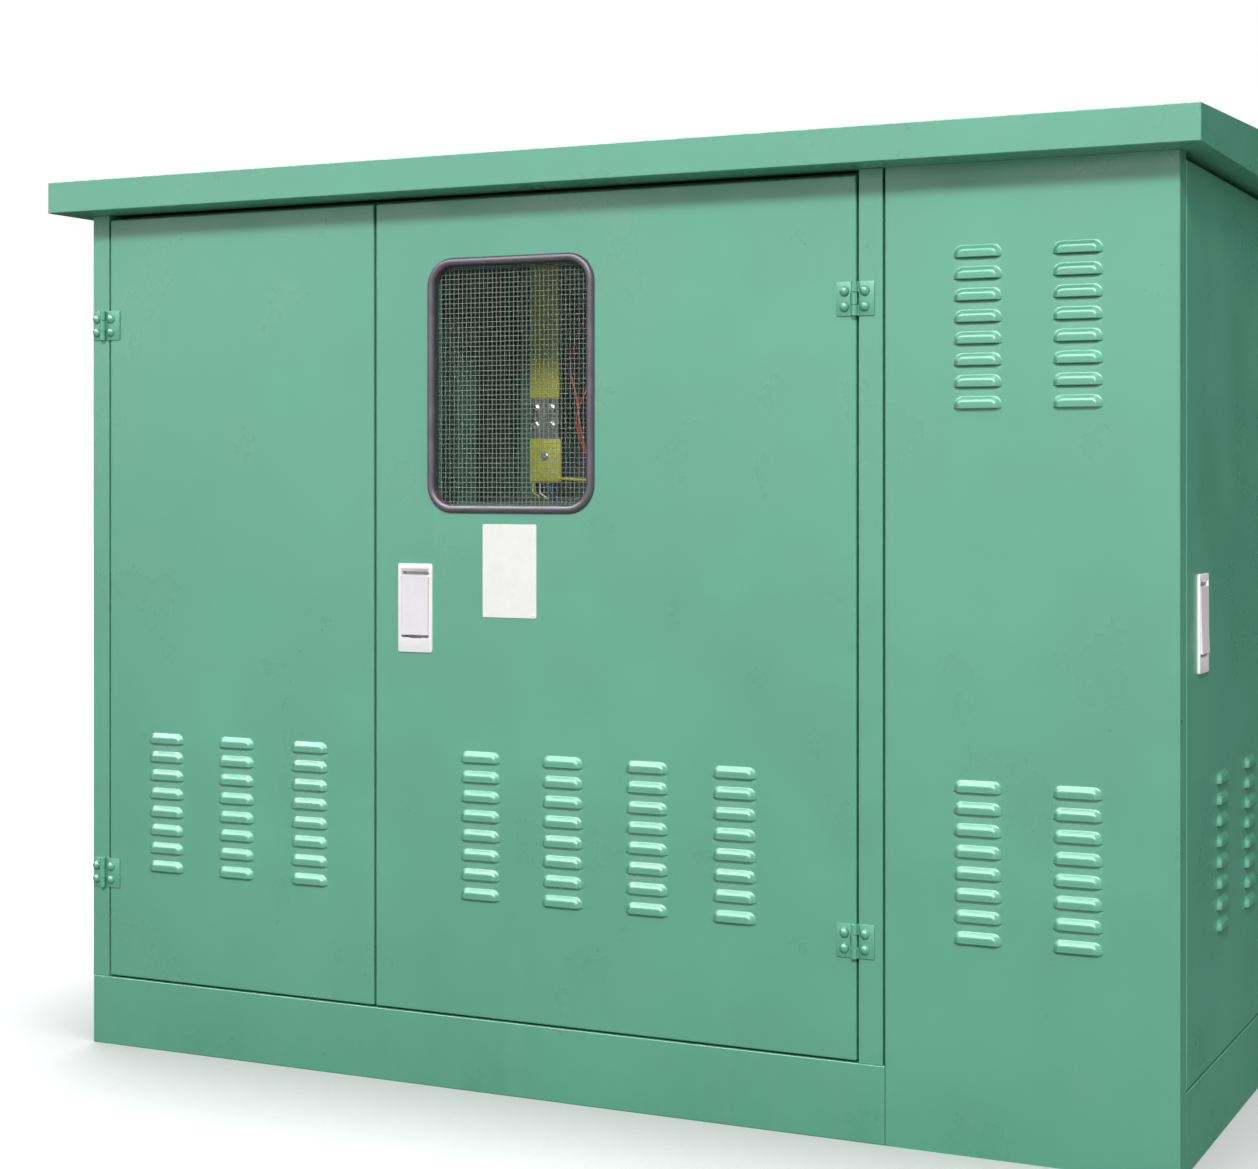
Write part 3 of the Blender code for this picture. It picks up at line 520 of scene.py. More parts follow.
def framed(bm, centre, size, radius, profile, steps, closed=True, cap=False):
    """A section swept round a round-cornered rectangle that faces -Y.

    profile is a list of (inset, y).  A closed one makes a ring, and cap fills the first
    and last loops, which makes a plate.
    """
    part = bmesh.new()
    loops = []
    for inset, y in profile:
        outline = rounded_outline(size[0], size[1], radius, inset, steps)
        loops.append([part.verts.new((centre[0] + x, y, centre[1] + z)) for x, z in outline])
    pairs = list(zip(loops, loops[1:]))
    if closed:
        pairs.append((loops[-1], loops[0]))
    bridge(part, pairs)
    if cap:
        part.faces.new(loops[-1])
        part.faces.new(loops[0])
    bmesh.ops.recalc_face_normals(part, faces=part.faces[:])
    merge(bm, part)


def tube(bm, points, radius, sides):
    """A round wire or cable through points, with flat ends."""
    part = bmesh.new()
    rings = []
    normal = None
    for index, point in enumerate(points):
        before = points[max(index - 1, 0)]
        after = points[min(index + 1, len(points) - 1)]
        along = (after - before).normalized()
        if normal is None:
            normal = along.orthogonal().normalized()
        normal = (normal - along * normal.dot(along)).normalized()
        side = along.cross(normal)
        angles = [math.tau * n / sides for n in range(sides)]
        rings.append([part.verts.new(point + radius * (math.cos(angle) * normal + math.sin(angle) * side))
                      for angle in angles])
    bridge(part, zip(rings, rings[1:]))
    part.faces.new(rings[0])
    part.faces.new(rings[-1])
    bmesh.ops.recalc_face_normals(part, faces=part.faces[:])
    merge(bm, part)


def smooth_route(points):
    """A smooth curve through given points (Catmull-Rom)."""
    steps = 8
    points = [Vector(p) for p in points]
    padded = [points[0]] + points + [points[-1]]
    route = []
    for a, b, c, d in zip(padded, padded[1:], padded[2:], padded[3:]):
        for n in range(steps):
            t = n / steps
            route.append(0.5 * ((2 * b) + (c - a) * t + (2 * a - 5 * b + 4 * c - d) * t * t
                                + (3 * b - a - 3 * c + d) * t ** 3))
    route.append(points[-1])
    return route


# ---- the louvred sheet -------------------------------------------------------------------
def hood_depth(x, z, left, low, sizes):
    """How far a louvre's skin stands out at (x, z): a sloping band round a flat front.

    The ends and upper corners follow a wide curve, and the band rises in an S.
    """
    right, top = left + sizes.louvre_width, low + sizes.louvre_height
    corner = sizes.louvre_corner
    dx = max(min(x - left, right - x), 0.0)
    dz = max(top - z, 0.0)
    if dx < corner and dz < corner:
        inside = corner - math.hypot(corner - dx, corner - dz)
    else:
        inside = min(dx, dz)
    share = min(max(inside / sizes.louvre_band, 0.0), 1.0)
    swell = 0.4 * math.sin(share * math.pi / 2) + 0.6 * share * share * (3 - 2 * share)
    return sizes.louvre_depth * swell


def side_lines(left, right, edge):
    """Grid lines across a louvre, closer at its ends."""
    count = 10
    near = [edge * (1 - math.cos(math.pi / 2 * n / count)) * 1.2 for n in range(count + 1)]
    middle = [(left + right) / 2]
    return [left + v for v in near] + middle + [right - v for v in reversed(near)]


def louvred_sheet(name, span_x, span_z, lefts, lows, depth, matrix, body, replaced, holes=(),
                  folded="LRTB"):
    """A sheet facing -Y at y = 0 with pressed louvres, holes and folded edges.

    A hole is (x low, x high, z low, z high), and folded names the edges that turn back.
    """
    hood_steps = 12
    sizes = bpy.context.scene.transformer_sizes
    hoods = [(left, low + row * sizes.louvre_pitch) for left in lefts for low in lows
             for row in range(sizes.louvre_rows)]
    xs, zs = set(span_x), set(span_z)
    for left in lefts:
        xs.update(side_lines(left, left + sizes.louvre_width, sizes.louvre_corner))
    for low in {hood[1] for hood in hoods}:
        rise = sizes.louvre_height
        zs.update(low + rise * n / hood_steps for n in range(hood_steps + 1))
    for x_low, x_high, z_low, z_high in holes:
        xs.update((x_low, x_high))
        zs.update((z_low, z_high))
    xs, zs = thin(sorted(xs)), thin(sorted(zs))

    bm = bmesh.new()
    flat, raised = {}, {}

    def corner(ix, iz, hood):
        x, z = xs[ix], zs[iz]
        if hood is None:
            if (ix, iz) not in flat:
                flat[ix, iz] = bm.verts.new((x, 0.0, z))
            return flat[ix, iz]
        out = hood_depth(x, z, *hood, sizes)
        if out < 1e-6:
            return corner(ix, iz, None)
        if (ix, iz) not in raised:
            raised[ix, iz] = bm.verts.new((x, -out, z))
        return raised[ix, iz]

    for ix in range(len(xs) - 1):
        for iz in range(len(zs) - 1):
            x, z = (xs[ix] + xs[ix + 1]) / 2, (zs[iz] + zs[iz + 1]) / 2
            if any(h[0] < x < h[1] and h[2] < z < h[3] for h in holes):
                continue
            hood = next((h for h in hoods if h[0] < x < h[0] + sizes.louvre_width
                         and h[1] < z < h[1] + sizes.louvre_height), None)
            ring = [corner(ix, iz, hood), corner(ix + 1, iz, hood), corner(ix + 1, iz + 1, hood),
                    corner(ix, iz + 1, hood)]
            bm.faces.new(ring)

    def fold(pairs):
        """Turns one edge's row of corners back by depth."""
        backs = {}
        for pair in pairs:
            for key in pair:
                if key not in backs:
                    backs[key] = behind.setdefault(key, bm.verts.new((flat[key].co.x, depth, flat[key].co.z)))
            bm.faces.new((flat[pair[0]], flat[pair[1]], backs[pair[1]], backs[pair[0]]))

    behind = {}
    last_x, last_z = len(xs) - 1, len(zs) - 1
    if "L" in folded:
        fold([((0, n), (0, n + 1)) for n in range(last_z)])
    if "R" in folded:
        fold([((last_x, n), (last_x, n + 1)) for n in range(last_z)])
    if "B" in folded:
        fold([((n, 0), (n + 1, 0)) for n in range(last_x)])
    if "T" in folded:
        fold([((n, last_z), (n + 1, last_z)) for n in range(last_x)])
    loose = [v for v in bm.verts if not v.link_faces]
    bmesh.ops.delete(bm, geom=loose, context="VERTS")
    bmesh.ops.recalc_face_normals(bm, faces=bm.faces[:])
    if sum(f.normal.y * f.calc_area() for f in bm.faces) > 0:
        bmesh.ops.reverse_faces(bm, faces=bm.faces[:])
    bmesh.ops.transform(bm, matrix=matrix, verts=bm.verts)

    mesh = bpy.data.meshes.new(name)
    bm.to_mesh(mesh)
    bm.free()
    obj = bpy.data.objects.new(name, mesh)
    bpy.context.scene.collection.objects.link(obj)
    mesh.materials.append(MATERIALS["enclosure"])
    mesh.shade_smooth()
    mesh.set_sharp_from_angle(angle=math.radians(80))
    add_bevel(obj, sizes.fold, 4, angle=80, harden=False)
    skin = obj.modifiers.new("sheet_thickness", "SOLIDIFY")
    skin.thickness = sizes.sheet
    skin.offset = -1.0
    flat_first = obj.modifiers.new("flat_faces_stay_flat", "WEIGHTED_NORMAL")
    flat_first.keep_sharp = True
    flat_first.weight = 80
    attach(obj, body)
    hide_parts(*replaced)


def thin(values):
    """Drops grid lines that all but coincide."""
    kept = values[:1]
    for value in values[1:]:
        if value - kept[-1] > 0.4 * MM:
            kept.append(value)
    return kept


# ---- where things are, read from the frame -------------------------------------------------
def door_spans():
    """Outer edges of the three doors' sheets: (low, high) across and in height."""
    hv_low, hv_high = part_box("hv_door")
    lv_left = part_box("lv_door")[0].x
    side_low, side_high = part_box("side_door")
    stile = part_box("post_front_left")[1].x
    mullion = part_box("post_mullion")[0].x
    height = (hv_low.z, hv_high.z)
    return {
        "hv_door": ((stile + 3 * MM, hv_high.x), height),
        "lv_door": ((lv_left, mullion - 5 * MM), height),
        "side_door": ((side_low.y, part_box("post_rear_right")[0].y - 5 * MM), (side_low.z, side_high.z)),
    }


def at_front(x=0.0, z=0.0):
    """From a fitting drawn round 0 and facing -Y to its place on the front."""
    return Matrix.Translation((x, FRONT, z))


def at_side(y=0.0, z=0.0):
    """The same for the side door, which faces +X."""
    return Matrix.Translation((RIGHT, y, z)) @ Matrix.Rotation(math.pi / 2, 4, "Z")


RETURN = 0.025                 # a door's folded edge
LOW_LOUVRES = 0.3755           # lower edge of the lowest louvre in the lower rows
HIGH_LOUVRES = 1.3185          # the same in the upper rows
LOUVRE_COLUMNS = {             # left edges of the columns, across each face
    "hv_door": (-1.003, -0.827, -0.648),
    "lv_door": (-0.252, -0.072, 0.107, 0.286),
    "front_louvre_panel": (0.751, 0.930),
    "side": (-0.452, -0.195, 0.062, 0.319),
    "rear_panel": (-0.900, -0.420, 0.060, 0.540),
}
STIFFENERS = {                 # middles of the channels on each door's back
    "hv_door": (-0.875, -0.680),
    "lv_door": (-0.118, 0.240, 0.430),
    "side_door": (-0.300, 0.120, 0.500),
}
HV_BUSHINGS = (-0.850, -0.700, -0.550)          # across the tank's front
LV_BUSHINGS = (-0.140, 0.020, 0.180, 0.340)
WIRES = {                      # finish, radius, and points as (x, out from the first bar's face, z)
    "wire_orange": ("orange", 2.2 * MM, (
        (-0.130, 0.004, 1.545), (-0.152, -0.010, 1.500), (-0.171, -0.012, 1.430),
        (-0.157, -0.012, 1.362), (-0.150, -0.008, 1.300), (-0.140, 0.004, 1.240))),
    "wire_red": ("sleeve_3", 2.0 * MM, (
        (-0.122, 0.004, 1.420), (-0.150, -0.006, 1.352), (-0.159, -0.008, 1.310),
        (-0.146, -0.006, 1.262), (-0.130, 0.004, 1.220))),
    "wire_lead": ("sleeve_1", 3.2 * MM, (
        (-0.206, -0.003, 1.197), (-0.180, -0.006, 1.195), (-0.150, -0.006, 1.193), (-0.118, 0.002, 1.192))),
    "wire_yellow": ("sleeve_1", 1.8 * MM, (
        (-0.262, -0.004, 1.186), (-0.258, -0.012, 1.168), (-0.246, -0.010, 1.158), (-0.240, -0.016, 1.140))),
    "wire_white": ("dial", 1.8 * MM, (
        (-0.246, -0.004, 1.184), (-0.240, -0.014, 1.166), (-0.224, -0.018, 1.156), (-0.214, -0.016, 1.136))),
    "wire_blue": ("sleeve_4", 1.8 * MM, (
        (-0.222, -0.004, 1.182), (-0.214, -0.014, 1.164), (-0.200, -0.016, 1.156), (-0.190, -0.014, 1.136))),
}
HINGES = {                     # door body, side of the frame's leaf, leaf widths on frame and door
    "hv": ("hv_door", -1, 0.027, 0.041),
    "lv": ("lv_door", 1, 0.037, 0.036),
    "side": ("side_door", 1, 0.037, 0.036),
}


def joint_spot(name):
    """Where a joint's axis passes, in the part's frame."""
    return Vector(next(j for j in frame["joints"] if j["name"] == name)["pos_m"])


def hinge_place(name, level):
    """Matrix of a hinge's axis, from its joint, at the height of its solid leaf."""
    joint = joint_spot(HINGES[name][0] + "_hinge")
    low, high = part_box("hinge_%s_%s" % (name, level))
    spot = Vector((joint.x, joint.y, (low.z + high.z) / 2))
    turn = Matrix.Rotation(math.pi / 2, 4, "Z") if name == "side" else Matrix.Identity(4)
    return Matrix.Translation(spot) @ turn


# ---- operators: one for each piece or group of like pieces -----------------------------------
class AddPanels(bpy.types.Operator):
    """Fixed louvred panels, roof, posts and plinth"""
    bl_idname = "transformer.add_panels"
    bl_label = "Panels and roof"

    def execute(self, context):
        low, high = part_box("front_louvre_panel")
        louvred_sheet("front_panel_skin", (low.x, RIGHT), (low.z, high.z),
                      LOUVRE_COLUMNS["front_louvre_panel"], (LOW_LOUVRES, HIGH_LOUVRES), high.y - FRONT,
                      at_front(), "root", ["front_louvre_panel"], folded="LR")
        low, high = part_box("left_side_panel")
        turn = Matrix.Translation((LEFT, 0, 0)) @ Matrix.Rotation(-math.pi / 2, 4, "Z")
        louvred_sheet("left_panel_skin", (-high.y, -low.y), (low.z, high.z), LOUVRE_COLUMNS["side"],
                      (LOW_LOUVRES,), RETURN, turn, "root", ["left_side_panel"])
        low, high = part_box("rear_panel")
        turn = Matrix.Translation((0, BACK, 0)) @ Matrix.Rotation(math.pi, 4, "Z")
        louvred_sheet("rear_panel_skin", (-high.x, -low.x), (low.z, high.z), LOUVRE_COLUMNS["rear_panel"],
                      (LOW_LOUVRES,), RETURN, turn, "root", ["rear_panel"])
        dress("roof", "enclosure", 0.0022, 3)
        dress("base_frame", "enclosure", 0.002, 3)
        for node in ("post_front_left", "post_mullion", "post_rear_right"):
            dress(node, "enclosure", 0.0008)
        # the header and the partition take the dark inside green, which is painted shade
        for node in ("header_front", "compartment_partition"):
            dress(node, "inside", 0.0008)
        dress("floor_plate", "galvanised", 0.0008)
        # an upright channel that stiffens the partition on the low-voltage side
        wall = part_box("compartment_partition")[1].x
        bm = bmesh.new()
        rounded_box(bm, (wall + SLIT, -0.489, 0.20), (wall + 0.046, -0.421, 1.529), 2 * MM)
        finish_piece("partition_channel", bm, "enclosure", "root")
        return {"FINISHED"}


class AddDoors(bpy.types.Operator):
    """The three doors: folded sheets with louvres, and the stiffeners on their backs"""
    bl_idname = "transformer.add_doors"
    bl_label = "Doors"

    def execute(self, context):
        spans = door_spans()
        gasket_low, gasket_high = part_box("window_gasket")
        under_lip = 15 * MM
        window = (gasket_low.x + under_lip, gasket_high.x - under_lip,
                  gasket_low.z + under_lip, gasket_high.z - under_lip)
        span, height = spans["hv_door"]
        louvred_sheet("hv_door_skin", span, height, LOUVRE_COLUMNS["hv_door"], (LOW_LOUVRES,), RETURN,
                      at_front(), "hv_door", ["hv_door"])
        span, height = spans["lv_door"]
        louvred_sheet("lv_door_skin", span, height, LOUVRE_COLUMNS["lv_door"], (LOW_LOUVRES,), RETURN,
                      at_front(), "lv_door", ["lv_door"],
                      holes=(window, self.dish_hole("lv_handle_frame", 0)))
        span, height = spans["side_door"]
        louvred_sheet("side_door_skin", span, height, LOUVRE_COLUMNS["side"], (LOW_LOUVRES,), RETURN,
                      at_side(), "side_door", ["side_door"], holes=(self.dish_hole("side_handle_frame", 1),))
        over_louvres, end = 0.70, 40 * MM
        for door, places in STIFFENERS.items():
            low, high = spans[door][1]
            bm = bmesh.new()
            matrix = at_side() if door == "side_door" else at_front()
            for x in places:
                # the window, the louvres and the handle leave these stretches free
                stretches = [(low + end, LOW_LOUVRES - 20 * MM), (over_louvres, high - end)]
                if door == "lv_door" and x < 0:
                    stretches = [(over_louvres, gasket_low.z - 30 * MM)]
                for z_low, z_high in stretches:
                    self.hat_section(bm, x, z_low, z_high, matrix)
            # the stiffeners take the dark inside green, which is painted shade
            finish_piece(door + "_stiffeners", bm, "inside", door)
        return {"FINISHED"}

    @staticmethod
    def dish_hole(node, axis):
        """The door's cut-out for a handle, just under its surround's edges."""
        low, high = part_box(node)
        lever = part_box(node.replace("_frame", "_lever"))[0]
        return (low[axis] + 5 * MM, high[axis] - 5 * MM, lever.z - 8 * MM, high.z - 8.5 * MM)

    @staticmethod
    def hat_section(bm, x, z_low, z_high, matrix):
        """A pressed channel, welded to the sheet by its two flanges."""
        near, top, wall = 2.2 * MM, 18 * MM, 1.4 * MM
        right = [(13 * MM, top), (16 * MM, near), (30 * MM, near), (30 * MM, near + wall),
                 (17.2 * MM, near + wall), (14 * MM, top + 1.6 * MM)]
        left = [(-dx, dy) for dx, dy in reversed(right)]
        section = right + left
        part = bmesh.new()
        loops = [[part.verts.new((x + dx, dy, z)) for dx, dy in section] for z in (z_low, z_high)]
        bridge(part, [loops])
        part.faces.new(loops[0])
        part.faces.new(loops[1])
        bmesh.ops.recalc_face_normals(part, faces=part.faces[:])
        merge(bm, part, matrix)


class AddHinges(bpy.types.Operator):
    """Butt hinges with their pins and domed bolts"""
    bl_idname = "transformer.add_hinges"
    bl_label = "Hinges"

    def execute(self, context):
        bolt = context.scene.transformer_sizes.bolt
        for name, (door, side, frame_width, door_width) in HINGES.items():
            for level in ("upper", "lower"):
                matrix = hinge_place(name, level)
                node = "hinge_%s_%s" % (name, level)
                low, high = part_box(node)
                half = (high.z - low.z) / 2
                self.leaf(node + "_frame_leaf", "root", matrix, side, 7.2 * MM, frame_width, half, bolt,
                          (node,))
                self.leaf(node + "_door_leaf", door, matrix, -side, 6.8 * MM, door_width, half, bolt, ())
        return {"FINISHED"}

    @staticmethod
    def leaf(name, body, matrix, side, start, width, half, bolt, replaced):
        """One leaf with its knuckles and bolts; the frame's also holds the pin.

        It is drawn round the hinge's axis and reaches from start to width on one side.
        """
        face, thick = 6.7 * MM, 3 * MM
        knuckle, middle, gap, rim = 6 * MM, 11 * MM, 0.6 * MM, 0.6 * MM
        bm = bmesh.new()
        ends = sorted((side * start, side * width))
        rounded_box(bm, (ends[0], face - thick, -half), (ends[1], face, half), 0.9 * MM, 2, matrix)
        on_frame = bool(replaced)
        stretches = [(-half, -middle - gap), (middle + gap, half)] if on_frame else [(-middle, middle)]
        for z_low, z_high in stretches:
            barrel = [(knuckle - rim, z_low), (knuckle, z_low + rim), (knuckle, z_high - rim),
                      (knuckle - rim, z_high)]
            turned(bm, barrel, matrix, 24)
            reach = sorted((0.0, side * (start + 2 * MM)))
            rounded_box(bm, (reach[0], face - thick, z_low), (reach[1], face - 0.1 * MM, z_high), 0.4 * MM, 1,
                        matrix)
        if on_frame:
            for sign in (-1, 1):
                pin_end = [(r, sign * (half - rim + h)) for r, h in dome(3.6 * MM, 1.4 * MM)]
                turned(bm, pin_end, matrix, 20)
        finish_piece(name, bm, "enclosure", body, replaced=replaced)
        heads = bmesh.new()
        x = side * min((start + width) / 2, 19.5 * MM)
        for z in (-14 * MM, 14 * MM):
            head = dome(bolt / 2, 7.2 * MM, base=0.8 * MM)
            turned(heads, head, matrix @ facing((x, face - thick, z), (0, -1, 0)), 24)
        finish_piece(name + "_bolts", heads, "enclosure", body)


class AddWindow(bpy.types.Operator):
    """The inspection window: rubber, glass and woven mesh"""
    bl_idname = "transformer.add_window"
    bl_label = "Window"

    def execute(self, context):
        sizes = context.scene.transformer_sizes
        low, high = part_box("window_gasket")
        centre = ((low.x + high.x) / 2, (low.z + high.z) / 2)
        size = (high.x - low.x, high.z - low.z)
        corner, wide, proud, foot, steps = 56 * MM, 16.5 * MM, 8.5 * MM, 0.4 * MM, 16
        section = []
        for n in range(steps + 1):
            angle = math.pi * n / steps
            rise = foot + (proud - foot) * math.sin(angle) ** 0.9
            section.append((wide / 2 * (1 - math.cos(angle)), -rise))
        # behind the door the rubber grips the pane
        section += [(wide, 10 * MM), (wide - 1 * MM, 11.5 * MM), (15 * MM, 11.5 * MM), (15 * MM, 0.6 * MM),
                    (0.0, 0.0)]
        bm = bmesh.new()
        framed(bm, centre, size, corner, [(inset, FRONT + y) for inset, y in section], steps=12)
        finish_piece("window_rubber", bm, "rubber", "lv_door", replaced=("window_gasket",))

        bm = bmesh.new()
        edge, chamfer, near, far = wide + SLIT, 0.6 * MM, FRONT + 1.2 * MM, FRONT + 5.2 * MM
        pane = [(edge + chamfer, near), (edge, near + chamfer), (edge, far - chamfer), (edge + chamfer, far)]
        framed(bm, centre, size, corner, pane, steps=12, closed=False, cap=True)
        finish_piece("window_pane", bm, "glass", "lv_door", replaced=("window_glass",))

        mesh_low, mesh_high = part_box("window_mesh")
        depth = (mesh_low.y + mesh_high.y) / 2
        lift = sizes.wire * 0.3
        bm = bmesh.new()
        # the wires pass over and under each other, and wander a little from straight
        for along, across in ((0, 2), (2, 0)):
            count = int((mesh_high[along] - mesh_low[along]) / sizes.wire_pitch)
            margin = (mesh_high[along] - mesh_low[along] - count * sizes.wire_pitch) / 2
            crossings = int((mesh_high[across] - mesh_low[across]) / sizes.wire_pitch)
            for n in range(count + 1):
                at = mesh_low[along] + margin + n * sizes.wire_pitch
                points = []
                for k in range(crossings + 2):
                    spot = Vector((0, 0, 0))
                    spot[along] = at + 0.3 * MM * math.sin(2.3 * n + 0.21 * k)
                    spot[across] = min(mesh_low[across] + k * sizes.wire_pitch, mesh_high[across])
                    sign = 1 if (n + k) % 2 else -1
                    spot.y = depth + sign * lift * (1 if along == 0 else -1)
                    points.append(spot)
                tube(bm, points, sizes.wire / 2, 6)
        finish_piece("window_wires", bm, "wire", "lv_door", angle=60,
                     replaced=("window_mesh",))
        # a steel clamping frame holds the mesh to the door's back; its dark inside green is painted shade
        bm = bmesh.new()
        near, far = FRONT + 17.2 * MM, FRONT + 18.8 * MM
        clamp = [(4 * MM, near), (4 * MM, far), (30 * MM, far), (30 * MM, near)]
        framed(bm, centre, (size[0] + 20 * MM, size[1] + 20 * MM), 30 * MM, clamp, steps=6)
        half = (size[0] / 2 - 6 * MM, size[1] / 2 - 6 * MM)
        for x in (-1, 0, 1):
            for z in (-1, -0.34, 0.34, 1):
                if x or abs(z) == 1:
                    spot = (centre[0] + x * half[0], far, centre[1] + z * half[1])
                    turned(bm, dome(4.5 * MM, 2.2 * MM), facing(spot, (0, 1, 0)), 16)
        finish_piece("window_clamp", bm, "inside", "lv_door")
        return {"FINISHED"}


class AddPlate(bpy.types.Operator):
    """The blank rating plate with its rivets"""
    bl_idname = "transformer.add_plate"
    bl_label = "Blank plate"

    def execute(self, context):
        low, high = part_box("nameplate")
        centre = ((low.x + high.x) / 2, (low.z + high.z) / 2)
        size = (high.x - low.x, high.z - low.z)
        bm = bmesh.new()
        chamfer, corner, inset = 0.4 * MM, 3 * MM, 6 * MM
        face = [(0.0, high.y), (0.0, low.y + chamfer), (chamfer, low.y)]
        framed(bm, centre, size, corner, face, steps=4, closed=False, cap=True)
        finish_piece("blank_plate", bm, "plate", "lv_door", replaced=("nameplate",))
        bm = bmesh.new()
        for x in (-1, 1):
            for z in (-1, 1):
                spot = (centre[0] + x * (size[0] / 2 - inset), low.y, centre[1] + z * (size[1] / 2 - inset))
                turned(bm, dome(1.9 * MM, 1 * MM), facing(spot, (0, -1, 0)), 16)
        finish_piece("plate_rivets", bm, "bolt", "lv_door")
        return {"FINISHED"}


class AddHandles(bpy.types.Operator):
    """The flush lift handles: frame with its dish, and the lever"""
    bl_idname = "transformer.add_handles"
    bl_label = "Handles"

    def execute(self, context):
        for prefix, body, lever_body in (("lv", "lv_door", "lv_lever"), ("side", "side_door", "side_lever")):
            low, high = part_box(prefix + "_handle_frame")
            lever_low, lever_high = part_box(prefix + "_handle_lever")
            middle = (low + high) / 2
            axis = 1 if prefix == "side" else 0
            matrix = at_side(middle.y, middle.z) if prefix == "side" else at_front(middle.x, middle.z)
            size = (high[axis] - low[axis], high.z - low.z)
            lever_size = (lever_high[axis] - lever_low[axis], lever_high.z - lever_low.z)
            lever_middle = (lever_low.z + lever_high.z) / 2 - middle.z
            pin_height = joint_spot(lever_body + "_lift").z - middle.z
            self.frame_piece(prefix, body, matrix, size, lever_low.z - middle.z, pin_height)
            self.lever_piece(prefix, lever_body, matrix, lever_size, lever_middle)
        return {"FINISHED"}

    @staticmethod
    def frame_piece(prefix, body, matrix, size, lever_low, pin_height):
        """A flat surround with a dish above its lower end; the dish's upper wall slopes."""
        bm = bmesh.new()
        proud, floor, skin = 4.5 * MM, 13.5 * MM, 1.7 * MM
        half, tall = size[0] / 2, size[1] / 2
        wide, top, bottom = half - 7 * MM, tall - 10.6 * MM, lever_low - 5 * MM
        behind = half - 5.3 * MM
        dip_half, dip_deep, steps = 14 * MM, 2.2 * MM, 4

        def loop(reach, low, high, radius, y):
            """Points round the surround or its dish, with the dish's dip for a fingertip."""
            outline = rounded_outline(2 * reach, high - low, radius, 0.0, steps)
            drop = dip_deep if reach < wide + 1 * MM else 0.0
            edge = -(high - low) / 2
            dip = [(-dip_half - 0.5 * MM, edge), (-dip_half + 0.5 * MM, edge - drop),
                   (dip_half - 0.5 * MM, edge - drop), (dip_half + 0.5 * MM, edge)]
            lower_side = 3 * (steps + 1)
            outline[lower_side:lower_side] = dip
            return [bm.verts.new((x, y, (low + high) / 2 + z)) for x, z in outline]

        def outside(inset, radius, y):
            return loop(half - inset, inset - tall, tall - inset, radius, y)

        def inside(outset, lowered, radius, y):
            return loop(wide + outset, bottom - outset, top + outset - lowered, radius, y)

        # from the dish's back round the door's hole, over the surround and down into the dish
        loops = [loop(behind, bottom - skin, top + skin, 3 * MM, floor + skin),
                 loop(behind, bottom - skin, top + skin, 3 * MM, -SLIT),
                 outside(0.0, 4 * MM, -SLIT),
                 outside(0.0, 4 * MM, 1.4 * MM - proud),
                 outside(0.4 * MM, 3.6 * MM, 0.4 * MM - proud),
                 outside(1.4 * MM, 2.8 * MM, -proud),
                 inside(0.8 * MM, 0.0, 2.5 * MM, -proud),
                 inside(0.0, 0.0, 2 * MM, 1 * MM - proud),
                 inside(0.0, 4.5 * MM, 2 * MM, -0.5 * MM),
                 inside(0.0, 5 * MM, 2 * MM, floor)]
        bridge(bm, zip(loops, loops[1:]))
        bm.faces.new(loops[0])
        bm.faces.new(loops[-1])
        bmesh.ops.transform(bm, matrix=matrix, verts=bm.verts)
        finish_piece(prefix + "_handle_surround", bm, "handle", body,
                     replaced=(prefix + "_handle_frame",))
        # the lever's pin, with a collar at each end
        bm = bmesh.new()
        shank, collar, reach, inner = 1.2 * MM, 2 * MM, wide + SLIT, wide - 0.4 * MM
        pin = [(collar, -reach), (collar, -inner), (shank, -inner), (shank, inner), (collar, inner),
               (collar, reach)]
        across = Matrix.Translation((0, -3 * MM, pin_height)) @ Matrix.Rotation(math.pi / 2, 4, "Y")
        turned(bm, pin, matrix @ across, 12)
        finish_piece(prefix + "_handle_pin", bm, "zinc", body)

    @staticmethod
    def lever_piece(prefix, body, matrix, size, middle):
        """A plate that thickens to its lower end, where the middle of its edge is eased."""
        part = bmesh.new()
        half, top, bottom = size[0] / 2, middle + size[1] / 2, middle - size[1] / 2
        eased_half, full_half, eased, count = 12 * MM, 18 * MM, 0.4 * MM, 10
        front, thicker, back = -5.2 * MM, 2.6 * MM, 0.4 * MM
        columns = [-half, -full_half, -eased_half, eased_half, full_half, half]
        rows = [[top - size[1] * n / count] * len(columns) for n in range(count)]
        rows.append([bottom + (eased if abs(x) == eased_half else 0.0) for x in columns])
        fronts, backs = [], []
        for row in rows:
            spots = [(x, z, thicker * ((top - z) / size[1]) ** 2) for x, z in zip(columns, row)]
            fronts.append([part.verts.new((x, front - bulge, z)) for x, z, bulge in spots])
            backs.append([part.verts.new((x, back, z)) for x, z, bulge in spots])
        for grid in (fronts, backs):
            for one, other in zip(grid, grid[1:]):
                for n in range(len(columns) - 1):
                    part.faces.new((one[n], one[n + 1], other[n + 1], other[n]))
        rim = [(row, 0) for row in range(len(fronts))]
        rim += [(len(fronts) - 1, n) for n in range(1, len(columns))]
        rim += [(row, len(columns) - 1) for row in range(len(fronts) - 2, -1, -1)]
        rim += [(0, n) for n in range(len(columns) - 2, 0, -1)]
        for one, other in zip(rim, rim[1:] + rim[:1]):
            part.faces.new((fronts[one[0]][one[1]], fronts[other[0]][other[1]],
                            backs[other[0]][other[1]], backs[one[0]][one[1]]))
        bmesh.ops.recalc_face_normals(part, faces=part.faces[:])
        bmesh.ops.transform(part, matrix=matrix, verts=part.verts)
        finish_piece(prefix + "_lever_plate", part, "lever", body, angle=50, bevel=0.9 * MM,
                     replaced=(prefix + "_handle_lever",))


